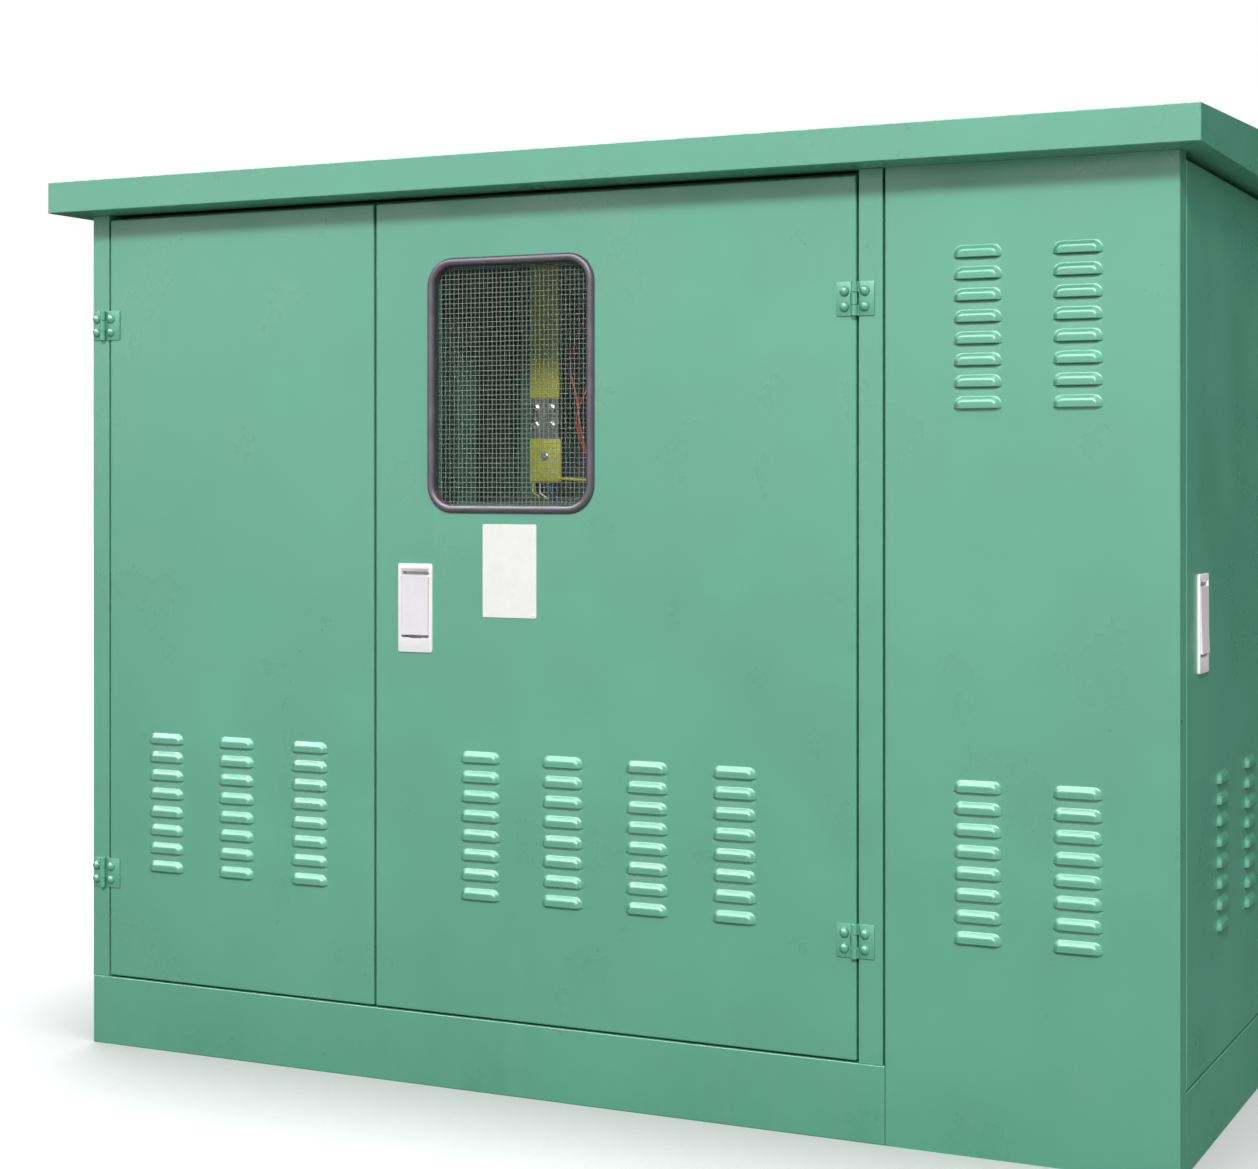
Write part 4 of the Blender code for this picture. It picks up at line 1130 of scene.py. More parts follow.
class AddRods(bpy.types.Operator):
    """The door bolts' rods, their guides and the case behind the handle"""
    bl_idname = "transformer.add_rods"
    bl_label = "Door rods"

    def execute(self, context):
        dress("lv_rod_top", "zinc", 0.0006)
        dress("lv_rod_bottom", "zinc", 0.0006)
        top_low, top_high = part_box("lv_rod_top")
        x, gap, strap, edge = (top_low.x + top_high.x) / 2, 1.2 * MM, 2 * MM, 0.5 * MM
        half = (top_high.x - top_low.x) / 2 + gap
        skin, over = FRONT + 2.2 * MM, top_high.y + gap
        bm = bmesh.new()
        # each guide is a strap bent over the rods, with a longer foot towards the door's free edge
        for z in (0.26, 0.62, 1.22, 1.60):
            low, high = z - 12 * MM, z + 12 * MM
            for side, foot in ((-1, 15.5 * MM), (1, 7.5 * MM)):
                inner, outer = sorted((x + side * half, x + side * (half + strap)))
                rounded_box(bm, (inner, skin, low), (outer, over + strap, high), edge, 1)
                heel, toe = sorted((x + side * (half + strap), x + side * (half + foot)))
                rounded_box(bm, (heel, skin, low), (toe, skin + strap, high), edge, 1)
            rounded_box(bm, (x - half - strap, over, low), (x + half + strap, over + strap, high), edge, 1)
        finish_piece("rod_guides", bm, "zinc", "lv_door")
        frame_low, frame_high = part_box("lv_handle_frame")
        near, far, wall, half = frame_high.y + 0.4 * MM, FRONT + 44 * MM, 2 * MM, 28 * MM
        low, high = frame_low.z - 14 * MM, frame_high.z + 14 * MM
        bm = bmesh.new()
        for side in (-1, 1):
            inner, outer = sorted((x + side * (half - wall), x + side * half))
            rounded_box(bm, (inner, near, low), (outer, far, high), edge, 1)
        rounded_box(bm, (x - half, far - 1.8 * MM, low), (x + half, far, high), 0.6 * MM, 1)
        for z in (frame_low.z, frame_high.z):
            for dx in (-18 * MM, 18 * MM):
                turned(bm, dome(4.2 * MM, 2.4 * MM), facing((x + dx, far, z), (0, 1, 0)), 16)
        finish_piece("latch_case", bm, "zinc", "lv_door")
        return {"FINISHED"}


class AddTank(bpy.types.Operator):
    """The oil tank with its bolted cover, radiators, core and windings"""
    bl_idname = "transformer.add_tank"
    bl_label = "Tank and core"

    def execute(self, context):
        dress("transformer_tank", "tank", 0.0025, 3)
        dress("tank_cover", "tank", 0.0015)
        for node in ("radiator_rear", "radiator_right"):
            dress(node, "tank", 0.0)
        dress("iron_core", "core", 0.001)
        for number in (1, 2, 3):
            dress("winding_%d" % number, "winding", 0.002)
        low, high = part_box("tank_cover")
        inset, pitch = 11 * MM, 0.115
        bm = bmesh.new()
        for axis in (0, 1):
            other = 1 - axis
            count = round((high[axis] - low[axis] - 2 * inset) / pitch)
            # the rows along the front and the back hold the corner bolts
            for n in range(count + 1) if axis == 0 else range(1, count):
                along = low[axis] + inset + (high[axis] - low[axis] - 2 * inset) * n / count
                for across in (low[other] + inset, high[other] - inset):
                    spot = (along, across, high.z) if axis == 0 else (across, along, high.z)
                    hex_bolt(bm, Matrix.Translation(spot), 9.5 * MM, 6.5 * MM)
        finish_piece("cover_bolts", bm, "zinc", "root")
        bm = bmesh.new()
        for x in (low.x + 0.16, high.x - 0.16):
            for y in (low.y + 0.12, high.y - 0.12):
                self.lifting_lug(bm, x, y, high.z)
        finish_piece("lifting_lugs", bm, "tank", "root")
        return {"FINISHED"}

    @staticmethod
    def lifting_lug(bm, x, y, z):
        """A plate with a round eye, welded upright on the cover."""
        part = bmesh.new()
        outer, inner = [], []
        steps, middle, round_top, eye, half = 24, 30 * MM, 26 * MM, 11 * MM, 5 * MM
        for n in range(steps):
            angle = math.tau * n / steps
            dx, dz = math.cos(angle), math.sin(angle)
            if dz >= 0:
                outer.append((round_top * dx, middle + round_top * dz))
            else:
                outer.append((round_top * dx * (1 + 0.5 * abs(dz)), middle * (1 + dz)))
            inner.append((eye * dx, middle + eye * dz))
        rings = [[part.verts.new((x + dx, y + dy, z + dz)) for dx, dz in ring]
                 for ring, dy in ((outer, -half), (outer, half), (inner, half), (inner, -half))]
        bridge(part, zip(rings, rings[1:] + rings[:1]))
        bmesh.ops.recalc_face_normals(part, faces=part.faces[:])
        merge(bm, part)


class AddBushings(bpy.types.Operator):
    """High- and low-voltage bushings on the tank's front wall"""
    bl_idname = "transformer.add_bushings"
    bl_label = "Bushings"

    def execute(self, context):
        low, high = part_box("hv_bushing_set")
        flange, circle = high.y - 10 * MM, 58 * MM
        bm = bmesh.new()
        rounded_box(bm, (low.x, flange, low.z), high, 2 * MM)
        finish_piece("hv_flange", bm, "tank", "root", replaced=("hv_bushing_set",))
        z = (low.z + high.z) / 2
        for number, x in enumerate(HV_BUSHINGS, 1):
            bm = bmesh.new()
            place = facing((x, flange, z), (0, -1, 0))
            profile = [(0.042, 0.0), (0.042, 0.014), (0.036, 0.020)]
            for shed in range(4):
                base, core = 0.030 + 0.034 * shed, 0.032 - 0.0025 * shed
                profile += [(core, base), (core + 0.009, base + 0.011), (core + 0.010, base + 0.013),
                            (core + 0.002, base + 0.017)]
            profile += [(0.022, 0.165), (0.022, 0.176), (0.019, 0.179)]
            turned(bm, profile, place, 40)
            finish_piece("hv_bushing_%d" % number, bm, "porcelain", "root", angle=30)
            bm = bmesh.new()
            turned(bm, [(0.016, 0.179), (0.016, 0.183), (0.008, 0.1832), (0.008, 0.1945), (0.007, 0.195)],
                   place, 24)
            turned(bm, [(0.013, 0.1836), (0.013, 0.1915)], place, 6)
            finish_piece("hv_stud_%d" % number, bm, "copper", "root")
            bolts = bmesh.new()
            for n in range(4):
                angle = math.radians(45 + 90 * n)
                spot = (x + circle * math.cos(angle), flange, z + circle * math.sin(angle))
                hex_bolt(bolts, facing(spot, (0, -1, 0)), 7.5 * MM, 5 * MM)
            finish_piece("hv_bushing_bolts_%d" % number, bolts, "zinc", "root")
        self.low_voltage()
        return {"FINISHED"}

    @staticmethod
    def low_voltage():
        """Small bushings whose flat copper palms take the bars' cables."""
        low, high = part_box("lv_bushing_set")
        flange, z = high.y - 10 * MM, (low.z + high.z) / 2
        half, palm, bolt = 60 * MM, 5 * MM, 7.5 * MM
        bm = bmesh.new()
        rounded_box(bm, (low.x, flange, z - half), (high.x, high.y, z + half), 2 * MM)
        finish_piece("lv_flange", bm, "tank", "root", replaced=("lv_bushing_set",))
        cones, palms, bolts = bmesh.new(), bmesh.new(), bmesh.new()
        for x in LV_BUSHINGS:
            place = facing((x, flange, z), (0, -1, 0))
            turned(cones, [(0.036, 0.0), (0.036, 0.010), (0.028, 0.016), (0.026, 0.034), (0.033, 0.044),
                           (0.0335, 0.047), (0.025, 0.052), (0.023, 0.072), (0.028, 0.080), (0.0285, 0.084),
                           (0.022, 0.088)], place, 40)
            turned(palms, [(0.015, 0.088), (0.015, 0.104)], place, 24)
            rounded_box(palms, (x - palm, low.y, z - 40 * MM), (x + palm, flange - 96 * MM, z + 40 * MM),
                        1.2 * MM)
            for dy in (12 * MM, 40 * MM):
                for dz in (-22 * MM, 22 * MM):
                    # a head on one side of the palm, a nut on the other
                    for side, tall in ((-1, 6 * MM), (1, 7 * MM)):
                        spot = (x + side * palm, low.y + dy, z + dz)
                        hex_bolt(bolts, facing(spot, (side, 0, 0)), bolt, tall)
        finish_piece("lv_bushings", cones, "porcelain", "root", angle=30)
        finish_piece("lv_palms", palms, "copper", "root")
        finish_piece("lv_palm_bolts", bolts, "zinc", "root")


class AddControls(bpy.types.Operator):
    """Switch, tap changer, fuse holders, gauges and valves on the tank's front"""
    bl_idname = "transformer.add_controls"
    bl_label = "Controls and gauges"

    def execute(self, context):
        self.switch()
        self.tap_changer()
        for number in (1, 2, 3):
            self.fuse(number)
        self.dial("oil_level_gauge", 45 * MM, 25 * MM, 0.45)
        self.dial("dial_thermometer", 50 * MM, 30 * MM, -0.35)
        self.relief_valve()
        self.drain_valve()
        return {"FINISHED"}

    @staticmethod
    def switch():
        """The red operating lever of the load-break switch, on its hub."""
        spot = joint_spot("switch_turn")
        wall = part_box("switch_handle")[1].y
        place = facing((spot.x, wall, spot.z), (0, -1, 0))
        half, reach = 10 * MM, 128 * MM
        bm = bmesh.new()
        turned(bm, [(0.030, 0.0), (0.030, 0.006), (0.024, 0.009), (0.022, 0.024), (0.024, 0.027),
                    (0.024, 0.037), (0.021, 0.040)], place, 40)
        rounded_box(bm, (spot.x - half, wall - 40 * MM, spot.z),
                    (spot.x + half, wall - 29 * MM, spot.z + reach), 4 * MM, 3)
        turned(bm, [(0.0, -0.002), (0.010, 0.0), (0.014, 0.004), (0.0145, 0.009), (0.012, 0.0125),
                    (0.0, 0.0135)],
               facing((spot.x, wall - 28.5 * MM, spot.z + reach - 14 * MM), (0, -1, 0)), 32)
        finish_piece("switch_lever", bm, "red", "switch_handle", replaced=("switch_handle",))
        bm = bmesh.new()
        turned(bm, [(0.050, 0.0), (0.050, 0.0018), (0.049, 0.0022), (0.033, 0.0022), (0.033, 0.0)],
               facing((spot.x, wall + 0.2 * MM, spot.z), (0, -1, 0)), 48)
        finish_piece("switch_escutcheon", bm, "zinc", "root")

    @staticmethod
    def tap_changer():
        """The tap changer's black bar knob and its five painted positions."""
        spot = joint_spot("tap_changer_turn")
        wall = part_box("tap_changer_handle")[1].y
        place = facing((spot.x, wall, spot.z), (0, -1, 0))
        half_long, half_high = 58 * MM, 9 * MM
        bm = bmesh.new()
        turned(bm, [(0.034, 0.0), (0.034, 0.020), (0.031, 0.0235), (0.020, 0.025), (0.020, 0.030)], place, 48)
        rounded_box(bm, (spot.x - half_long, wall - 45 * MM, spot.z - half_high),
                    (spot.x + half_long, wall - 24 * MM, spot.z + half_high), 4 * MM, 3)
        finish_piece("tap_knob", bm, "black", "tap_changer", replaced=("tap_changer_handle",))
        ticks = bmesh.new()
        on_wall = Matrix.Translation((spot.x, wall + 0.2 * MM, spot.z))
        for step in range(5):
            turn = Matrix.Rotation(-math.radians(90 + 30 * (step - 2)), 4, "Y")
            for reach in (66 * MM, 72 * MM, 78 * MM):
                rounded_box(ticks, (reach - 3 * MM, -0.6 * MM, -1.6 * MM), (reach + 3 * MM, 0.0, 1.6 * MM),
                            0.4 * MM, 1, on_wall @ turn)
        finish_piece("tap_marks", ticks, "dial", "root")

    @staticmethod
    def fuse(number):
        """A bayonet fuse holder: a tube in the tank, a fluted cap and an eye for a hot stick."""
        node = "fuse_holder_%d" % number
        low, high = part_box(node)
        x, z = (low.x + high.x) / 2, (low.z + high.z) / 2
        out, flutes = 55 * MM, 12
        face = low.y + out
        place = facing((x, face, z), (0, -1, 0))
        bm = bmesh.new()
        turned(bm, [(0.0170, -0.105), (0.0183, -0.1035), (0.0183, -0.0004), (0.0257, 0.0002), (0.0260, 0.004),
                    (0.0260, 0.022), (0.0240, 0.026), (0.0120, 0.027), (0.0110, 0.032)], place, 40)
        for n in range(flutes):
            turn = Matrix.Rotation(math.tau * n / flutes, 4, "Z")
            rounded_box(bm, (24.8 * MM, -1.6 * MM, 6 * MM), (27 * MM, 1.6 * MM, 21 * MM), 0.6 * MM, 1,
                        place @ turn)
        rounded_box(bm, (x - 6 * MM, face - out, z - 22 * MM), (x + 6 * MM, face - 26 * MM, z + 22 * MM),
                    2.8 * MM, 3)
        finish_piece("fuse_body_%d" % number, bm, "breaker", "fuse_%d" % number,
                     replaced=(node,))

    @staticmethod
    def dial(node, radius, deep, lean):
        """A round gauge: black case, bright rim, white face with its scale and a pointer.

        lean is the pointer's angle from upright, in radians.
        """
        low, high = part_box(node)
        x, z, face = (low.x + high.x) / 2, high.z - radius, high.y
        place = facing((x, face, z), (0, -1, 0))
        bm = bmesh.new()
        turned(bm, [(radius - 0.003, 0.0), (radius - 0.001, 0.002), (radius - 0.001, deep - 0.006),
                    (radius - 0.004, deep - 0.005), (radius - 0.004, deep - 0.007)], place, 56)
        stem = low.z + 12 * MM
        turned(bm, [(0.012, 0.0), (0.012, 0.012), (0.009, 0.015)], facing((x, face, stem), (0, -1, 0)), 24)
        rounded_box(bm, (x - 6 * MM, face - 12 * MM, stem), (x + 6 * MM, face - 1 * MM, z - radius + 6 * MM),
                    2 * MM, 2)
        finish_piece(node + "_case", bm, "black", "root", replaced=(node,))
        bm = bmesh.new()
        turned(bm, [(radius, deep - 0.007), (radius, deep - 0.001), (radius - 0.001, deep),
                    (radius - 0.004, deep), (radius - 0.005, deep - 0.002), (radius - 0.005, deep - 0.0045),
                    (radius - 0.0052, deep - 0.007)], place, 56)
        finish_piece(node + "_rim", bm, "zinc", "root")
        bm = bmesh.new()
        turned(bm, [(radius - 0.0055, deep - 0.0065), (radius - 0.0055, deep - 0.0052)], place, 56)
        finish_piece(node + "_face", bm, "dial", "root")
        marks = bmesh.new()
        rim, sweep, count, ring = radius - 9 * MM, 270.0, 12, deep - 5.2 * MM
        for n in range(count + 1):
            spin = place @ Matrix.Rotation(math.radians(225 - sweep * n / count), 4, "Z")
            long = (7 if n % 3 == 0 else 4) * MM
            rounded_box(marks, (rim - long, -0.6 * MM, ring), (rim, 0.6 * MM, ring + 0.5 * MM), 0.2 * MM, 1,
                        spin)
        hand = place @ Matrix.Rotation(math.pi / 2 + lean, 4, "Z")
        rounded_box(marks, (-10 * MM, -1.1 * MM, ring + 1 * MM),
                    (radius - 14 * MM, 1.1 * MM, ring + 1.8 * MM), 0.3 * MM, 1, hand)
        turned(marks, [(0.0045, deep - 0.0052), (0.0045, deep - 0.0026), (0.0035, deep - 0.0020)], place, 24)
        finish_piece(node + "_marks", marks, "black", "root")

    @staticmethod
    def relief_valve():
        """The pressure relief valve with its pull ring."""
        low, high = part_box("pressure_relief_valve")
        x, z, face = (low.x + high.x) / 2, (low.z + high.z) / 2, high.y
        place = facing((x, face, z), (0, -1, 0))
        bm = bmesh.new()
        turned(bm, [(0.020, 0.0), (0.020, 0.008), (0.016, 0.009), (0.015, 0.028), (0.018, 0.031),
                    (0.018, 0.039), (0.016, 0.041), (0.005, 0.041), (0.005, 0.050)], place, 32)
        turned(bm, [(0.022, 0.009), (0.022, 0.019)], place, 6)
        angles = [math.tau * n / 24 for n in range(25)]
        ring = [Vector((x, face - 50 * MM, z)) + 11 * MM * Vector((math.cos(angle), 0.0, math.sin(angle)))
                for angle in angles]
        tube(bm, ring, 1.5 * MM, 8)
        finish_piece("relief_valve_body", bm, "zinc", "root",
                     replaced=("pressure_relief_valve",))

    @staticmethod
    def drain_valve():
        """The drain valve at the tank's foot, with its red wheel."""
        low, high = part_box("drain_valve")
        x, face = (low.x + high.x) / 2, high.y
        z, wheel_radius = 0.260, 22 * MM
        place = facing((x, face, z), (0, -1, 0))
        bm = bmesh.new()
        turned(bm, [(0.023, 0.0), (0.023, 0.006), (0.017, 0.008), (0.017, 0.030), (0.022, 0.033),
                    (0.022, 0.052), (0.019, 0.054), (0.019, 0.060)], place, 32)
        turned(bm, [(0.021, 0.012), (0.021, 0.024)], place, 6)
        stem = Matrix.Translation((x, face - 0.045, 0.0))
        turned(bm, [(0.010, z + 0.016), (0.010, z + 0.028), (0.005, z + 0.029), (0.005, z + 0.044)], stem, 24)
        finish_piece("drain_valve_body", bm, "zinc", "root", replaced=("drain_valve",))
        wheel = bmesh.new()
        hub = Vector((x, face - 45 * MM, z + 40 * MM))

        def on_rim(share):
            """A point on the wheel's rim, a share of a turn round."""
            angle = math.tau * share
            return hub + wheel_radius * Vector((math.cos(angle), math.sin(angle), 0.0))

        tube(wheel, [on_rim(n / 32) for n in range(33)], 3.5 * MM, 10)
        for n in range(4):
            tube(wheel, [hub, on_rim(n / 4)], 2.5 * MM, 8)
        finish_piece("drain_wheel", wheel, "red", "root")


class AddSwitchboard(bpy.types.Operator):
    """The low-voltage board: bars in their sleeves, breakers with toggles and small wiring"""
    bl_idname = "transformer.add_switchboard"
    bl_label = "Switchboard"

    def execute(self, context):
        # the board's frame takes the dark inside green, which is painted shade
        dress("lv_mounting_frame", "inside", 0.001)
        for number in (1, 2, 3, 4):
            self.bar(number)
        for node, toggle in (("main_breaker", "main_toggle"), ("feeder_breaker_1", "feeder_toggle_1"),
                             ("feeder_breaker_2", "feeder_toggle_2")):
            dress(node, "breaker", 0.003, 3)
            dress(toggle, "black", 0.0012)
            self.breaker_details(node)
        self.cover_plate()
        self.wiring()
        return {"FINISHED"}

    @staticmethod
    def bar(number):
        """A tinned bar in its shrunk sleeve, with its joint's bolts and its spacer."""
        node = "busbar_%d" % number
        dress(node, "tinned", 0.001)
        low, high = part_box(node)
        top, bottom, skin = high.z + 0.5 * MM, 1.363, 1.4 * MM
        bm = bmesh.new()
        rounded_box(bm, (low.x - skin, low.y - skin, bottom), (high.x + skin, high.y + skin, top), 0.0022, 3)
        finish_piece("bar_sleeve_%d" % number, bm, "sleeve_%d" % number, "root", angle=50)
        bolts = bmesh.new()
        x = (low.x + high.x) / 2
        for dx in (-21 * MM, 15 * MM):
            for z in (bottom - 20 * MM, bottom - 56 * MM):
                hex_bolt(bolts, facing((x + dx, low.y, z), (0, -1, 0)), 7 * MM, 6.5 * MM)
        rounded_box(bolts, (low.x + 10 * MM, high.y + 2 * MM, 1.605),
                    (high.x - 10 * MM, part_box("lv_mounting_frame")[0].y, 1.635), 1 * MM)
        finish_piece("bar_bolts_%d" % number, bolts, "bolt", "root")

    @staticmethod
    def breaker_details(node):
        """Terminal wells with screws, a raised face round the toggle, and seams of the cover."""
        low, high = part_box(node)
        width, height = high.x - low.x, high.z - low.z
        x, z = (low.x + high.x) / 2, (low.z + high.z) / 2
        poles, front, rib, end = 3, low.y - 2.2 * MM, 1.5 * MM, 2 * MM
        trim = bmesh.new()
        framed(trim, (x, z), (min(75 * MM, width * 0.55), 118 * MM), 6 * MM,
               [(0.0, low.y), (1 * MM, front), (13.5 * MM, front), (14.5 * MM, low.y)], steps=5)
        for n in range(1, poles):
            at = low.x + width * n / poles
            for z_low, z_high in ((low.z, low.z + height * 0.18), (high.z - height * 0.18, high.z)):
                rounded_box(trim, (at - rib, low.y - 3 * MM, z_low + end),
                            (at + rib, low.y + 2 * MM, z_high - end), 0.5 * MM, 1)
        finish_piece(node + "_trim", trim, "black", "root")
        screws = bmesh.new()
        for n in range(poles):
            at = low.x + width * (n + 0.5) / poles
            for level in (low.z + height * 0.08, high.z - height * 0.08):
                radius, rise, well = min(7.5 * MM, width / 12), 2.8 * MM, 1.2 * MM
                screw = [(radius, 0.0), (radius, 2 * MM), (radius * 0.8, rise), (radius * 0.5, rise),
                         (radius * 0.42, well), (0.0, well)]
                turned(screws, screw, facing((at, low.y, level), (0, -1, 0)), 20)
        finish_piece(node + "_screws", screws, "zinc", "root")

    @staticmethod
    def cover_plate():
        """The first phase's insulating plate under the sleeve, held by one bolt."""
        low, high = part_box("busbar_1")
        front = low.y - 5.2 * MM
        bm = bmesh.new()
        rounded_box(bm, (low.x + 1 * MM, front, 1.190), (high.x + 7 * MM, low.y - SLIT, 1.278), 1.6 * MM, 2)
        finish_piece("bar_cover", bm, "sleeve_1", "root")
        bm = bmesh.new()
        spot = ((low.x + high.x) / 2 + 4 * MM, front, 1.243)
        hex_bolt(bm, facing(spot, (0, -1, 0)), 7.5 * MM, 6 * MM)
        finish_piece("bar_cover_bolt", bm, "zinc", "root")

    @staticmethod
    def wiring():
        """Thin wires beside the first bar, and the leads that end under its cover plate."""
        bar_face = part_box("busbar_1")[0].y
        for name, (finish, radius, points) in WIRES.items():
            bm = bmesh.new()
            tube(bm, smooth_route([(x, bar_face + out, z) for x, out, z in points]), radius, 12)
            finish_piece(name, bm, finish, "root")


class AddStage(bpy.types.Operator):
    """White floor, soft studio light and the camera"""
    bl_idname = "transformer.add_stage"
    bl_label = "Stage"

    def execute(self, context):
        light = context.scene.transformer_light
        self.floor()
        self.world(light)
        key = bpy.data.lights.new("key_light", "AREA")
        key.shape, key.size, key.energy = "DISK", light.key_size, light.key_power
        self.place_lamp(key, KEY_FROM, 20.0)
        side = bpy.data.lights.new("side_light", "SUN")
        side.energy, side.angle = light.side_strength, math.radians(60)
        self.place_lamp(side, SIDE_FROM, 8.0)
        back = bpy.data.lights.new("back_light", "SUN")
        back.energy, back.angle = light.back_strength, math.radians(50)
        self.place_lamp(back, BACK_FROM, 8.0)
        camera = bpy.data.cameras.new("camera")
        camera.lens, camera.sensor_width, camera.shift_y = LENS, SENSOR, LENS_SHIFT
        viewer = bpy.data.objects.new("camera", camera)
        viewer.location = EYE
        viewer.rotation_euler = (math.radians(90), 0, math.radians(EYE_TURN))
        context.scene.collection.objects.link(viewer)
        context.scene.camera = viewer
        context.scene.view_settings.view_transform = "Standard"
        return {"FINISHED"}

    @staticmethod
    def place_lamp(data, direction, distance):
        """Hangs a lamp a distance away in a direction from the doors, and turns it to them."""
        direction = Vector(direction).normalized()
        lamp = bpy.data.objects.new(data.name, data)
        lamp.rotation_euler = direction.to_track_quat("Z", "Y").to_euler()
        lamp.location = Vector((0, FRONT, 1.0)) + distance * direction
        lamp.visible_camera = False
        bpy.context.scene.collection.objects.link(lamp)

    @staticmethod
    def floor():
        """A wide white floor; it glows only to the camera, in mirrors and through glass."""
        bm = bmesh.new()
        bmesh.ops.create_grid(bm, x_segments=1, y_segments=1, size=30.0)
        mesh = bpy.data.meshes.new("floor")
        bm.to_mesh(mesh)
        bm.free()
        obj = bpy.data.objects.new("floor", mesh)
        bpy.context.scene.collection.objects.link(obj)
        mat, tree, shader, place = new_material("white_studio_floor", Roughness=0.9, Specular_IOR_Level=0.0)
        light = bpy.context.scene.transformer_light
        # painted reflection: mirrors see the floor bright before the doors and dim beside and behind them,
        # while the lamps see it one grey
        path = add_node(tree, "ShaderNodeLightPath")
        parts = add_node(tree, "ShaderNodeSeparateXYZ", links={"Vector": (place, "Object")})
        before = ramp(tree, parts, "Y", light.floor_mirrored, 0.04, -1.4, -0.8)
        tone = mix(tree, (path, "Is Glossy Ray"), [0.35, 0.35, 0.35, 1.0], (before, 0))
        tree.links.new(tone.outputs[2], shader.inputs["Base Color"])
        # far from the object the lamp no longer reaches the floor, so the glow grows with distance
        reach = add_node(tree, "ShaderNodeVectorMath", links={0: (place, "Object")}, operation="LENGTH")
        glow = ramp(tree, reach, "Value", light.floor_glow, 1.0, 2.5, 9.0)
        seen = add_node(tree, "ShaderNodeMath", links={0: (glow, 0), 1: (seen_directly(tree), 0)},
                        operation="MULTIPLY")
        # painted contact shadow: the glow dims close to whatever stands on the floor, by ambient occlusion,
        # as a soft studio shadow does
        contact = add_node(tree, "ShaderNodeAmbientOcclusion", {"Distance": 0.7}, samples=16)
        shadow = add_node(tree, "ShaderNodeMath", {1: 1.8}, {0: (contact, "AO")}, operation="POWER")
        tree.links.new(shadow.outputs[0], shader.inputs["Emission Color"])
        tree.links.new(seen.outputs[0], shader.inputs["Emission Strength"])
        mesh.materials.append(mat)

    @staticmethod
    def world(light):
        """A white backdrop where it is seen, painted reflections that only mirrors see, and a dimmer even
        light on everything else.
        """
        world = bpy.data.worlds.new("studio")
        world.use_nodes = True
        tree = world.node_tree
        background = tree.nodes["Background"]
        background.inputs["Color"].default_value = (1.0, 1.0, 1.0, 1.0)
        place = add_node(tree, "ShaderNodeTexCoord")
        direction = add_node(tree, "ShaderNodeSeparateXYZ", links={"Vector": (place, "Generated")})
        # painted reflections: only mirrors see a pale wall before the doors with a large lamp above it, both
        # on the left
        wall = ramp(tree, direction, "Y", light.mirrored_low, 0.0, -0.75, -0.2)
        above = ramp(tree, direction, "Z", 0.0, light.mirrored_high, 0.38, 0.52)
        before = ramp(tree, direction, "Y", 1.0, 0.0, -0.05, 0.25)
        lamp = add_node(tree, "ShaderNodeMath", links={0: (above, 0), 1: (before, 0)}, operation="MULTIPLY")
        both = add_node(tree, "ShaderNodeMath", links={0: (wall, 0), 1: (lamp, 0)}, operation="ADD")
        left = ramp(tree, direction, "X", 1.0, 0.12, 0.05, 0.40)
        studio = add_node(tree, "ShaderNodeMath", links={0: (both, 0), 1: (left, 0)}, operation="MULTIPLY")
        path = add_node(tree, "ShaderNodeLightPath")
        mirrored = add_node(tree, "ShaderNodeMix", {2: light.fill_strength},
                            {0: (path, "Is Glossy Ray"), 3: (studio, 0)})
        strength = add_node(tree, "ShaderNodeMath", links={0: (mirrored, 0), 1: (seen_directly(tree), 0)},
                            operation="MAXIMUM")
        tree.links.new(strength.outputs[0], background.inputs["Strength"])
        bpy.context.scene.world = world


def seen_directly(tree):
    """1 for camera and transmission rays, 0 for light that lands on the object."""
    path = add_node(tree, "ShaderNodeLightPath")
    rays = {0: (path, "Is Camera Ray"), 1: (path, "Is Transmission Ray")}
    return add_node(tree, "ShaderNodeMath", links=rays, operation="MAXIMUM")


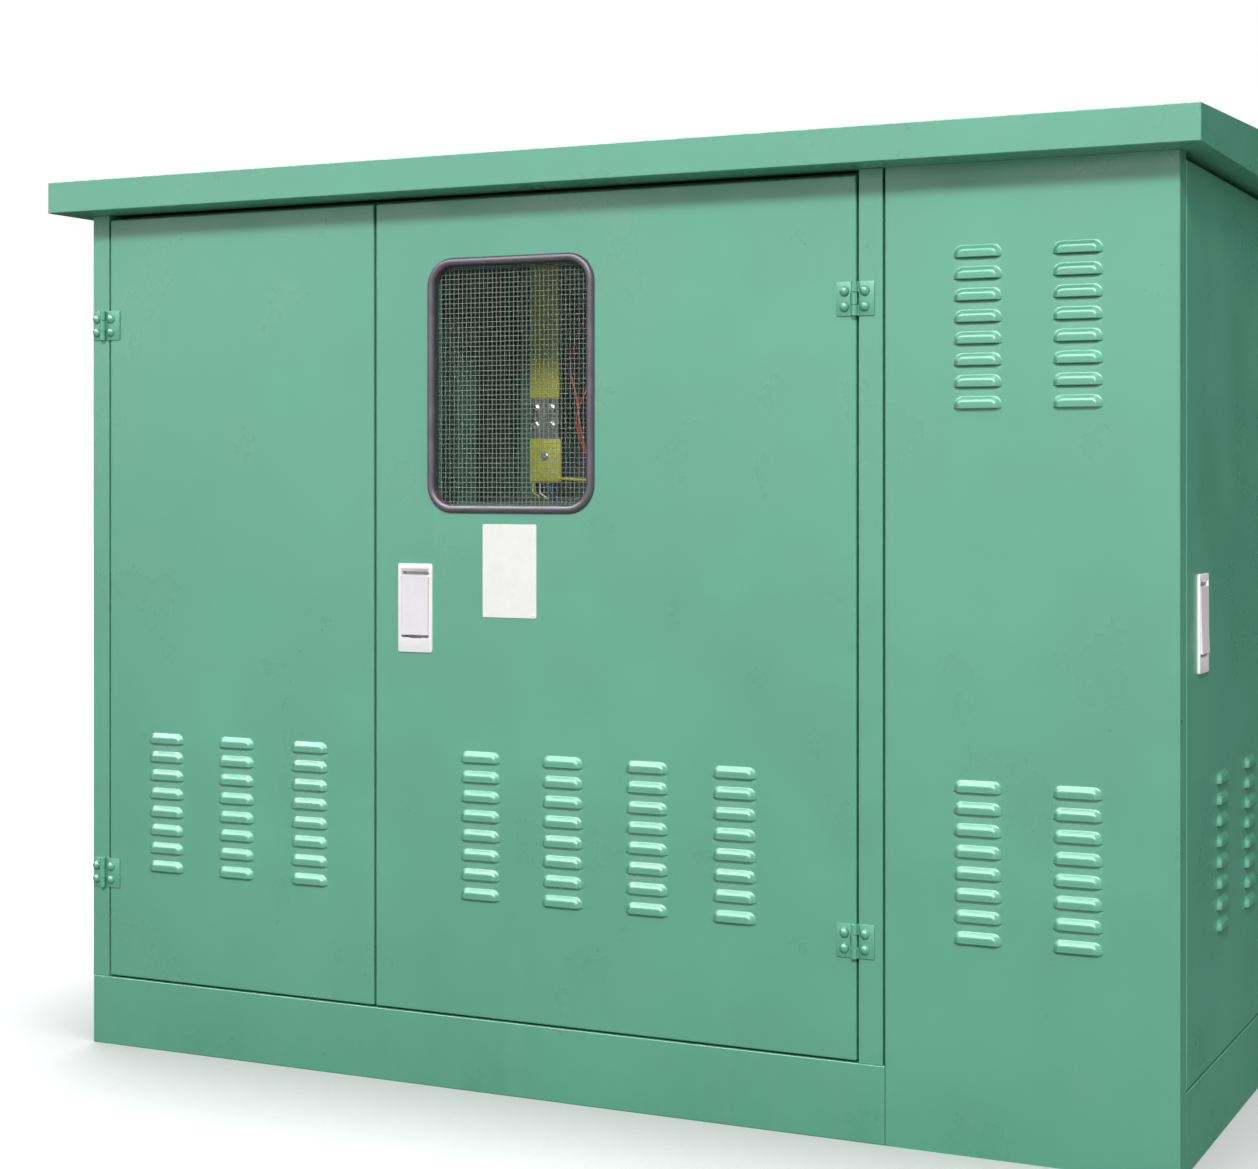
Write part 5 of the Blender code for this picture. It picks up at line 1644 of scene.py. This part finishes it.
class TransformerLight(bpy.types.PropertyGroup):
    key_power: FloatProperty(name="Key light", description="Power of the key lamp",
                             default=3350.0, unit="POWER")
    key_size: FloatProperty(name="Key size", description="Diameter of the key lamp",
                            default=3.8, unit="LENGTH")
    side_strength: FloatProperty(name="Side light", description="Strength of the soft light from the right",
                                 default=1.3)
    back_strength: FloatProperty(name="Back light", description="Strength of the soft light from behind",
                                 default=1.5)
    fill_strength: FloatProperty(name="Fill light", description="Strength of the even light", default=0.09)
    mirrored_low: FloatProperty(name="Mirrored wall",
                                description="Brightness that gloss mirrors level with the eye", default=2.8)
    mirrored_high: FloatProperty(name="Mirrored lamp",
                                 description="Brightness that gloss mirrors above the eye", default=12.0)
    floor_mirrored: FloatProperty(name="Mirrored floor",
                                  description="Whiteness of the floor that gloss mirrors", default=0.8)
    floor_glow: FloatProperty(name="Floor glow", description="What the floor adds where it is seen",
                              default=0.95)


OPERATORS = (AddStage, AddPanels, AddDoors, AddHinges, AddWindow, AddPlate, AddHandles, AddRods, AddTank,
             AddBushings, AddControls, AddSwitchboard)


class TransformerPanel(bpy.types.Panel):
    """Lists the transformer's operators with its sizes and colours"""
    bl_idname = "VIEW3D_PT_transformer"
    bl_label = "Pad-mounted transformer"
    bl_space_type = "VIEW_3D"
    bl_region_type = "UI"
    bl_category = "Transformer"

    def draw(self, context):
        for group_name in GROUPS:
            group = getattr(context.scene, group_name)
            box = self.layout.box()
            for name in group.__annotations__:
                box.prop(group, name)
        for operator in OPERATORS:
            self.layout.operator(operator.bl_idname)


GROUPS = {"transformer_sizes": TransformerSizes, "transformer_colours": TransformerColours,
          "transformer_light": TransformerLight}


def register():
    for cls in (*GROUPS.values(), *OPERATORS, TransformerPanel):
        bpy.utils.register_class(cls)
    for name, group in GROUPS.items():
        setattr(bpy.types.Scene, name, PointerProperty(type=group))


def unregister():
    for name in GROUPS:
        delattr(bpy.types.Scene, name)
    for cls in reversed((*GROUPS.values(), *OPERATORS, TransformerPanel)):
        bpy.utils.unregister_class(cls)


def main():
    """Builds everything in order."""
    register()
    make_materials()
    for operator in OPERATORS:
        group, name = operator.bl_idname.split(".")
        getattr(getattr(bpy.ops, group), name)()


if __name__ == "__main__":
    main()
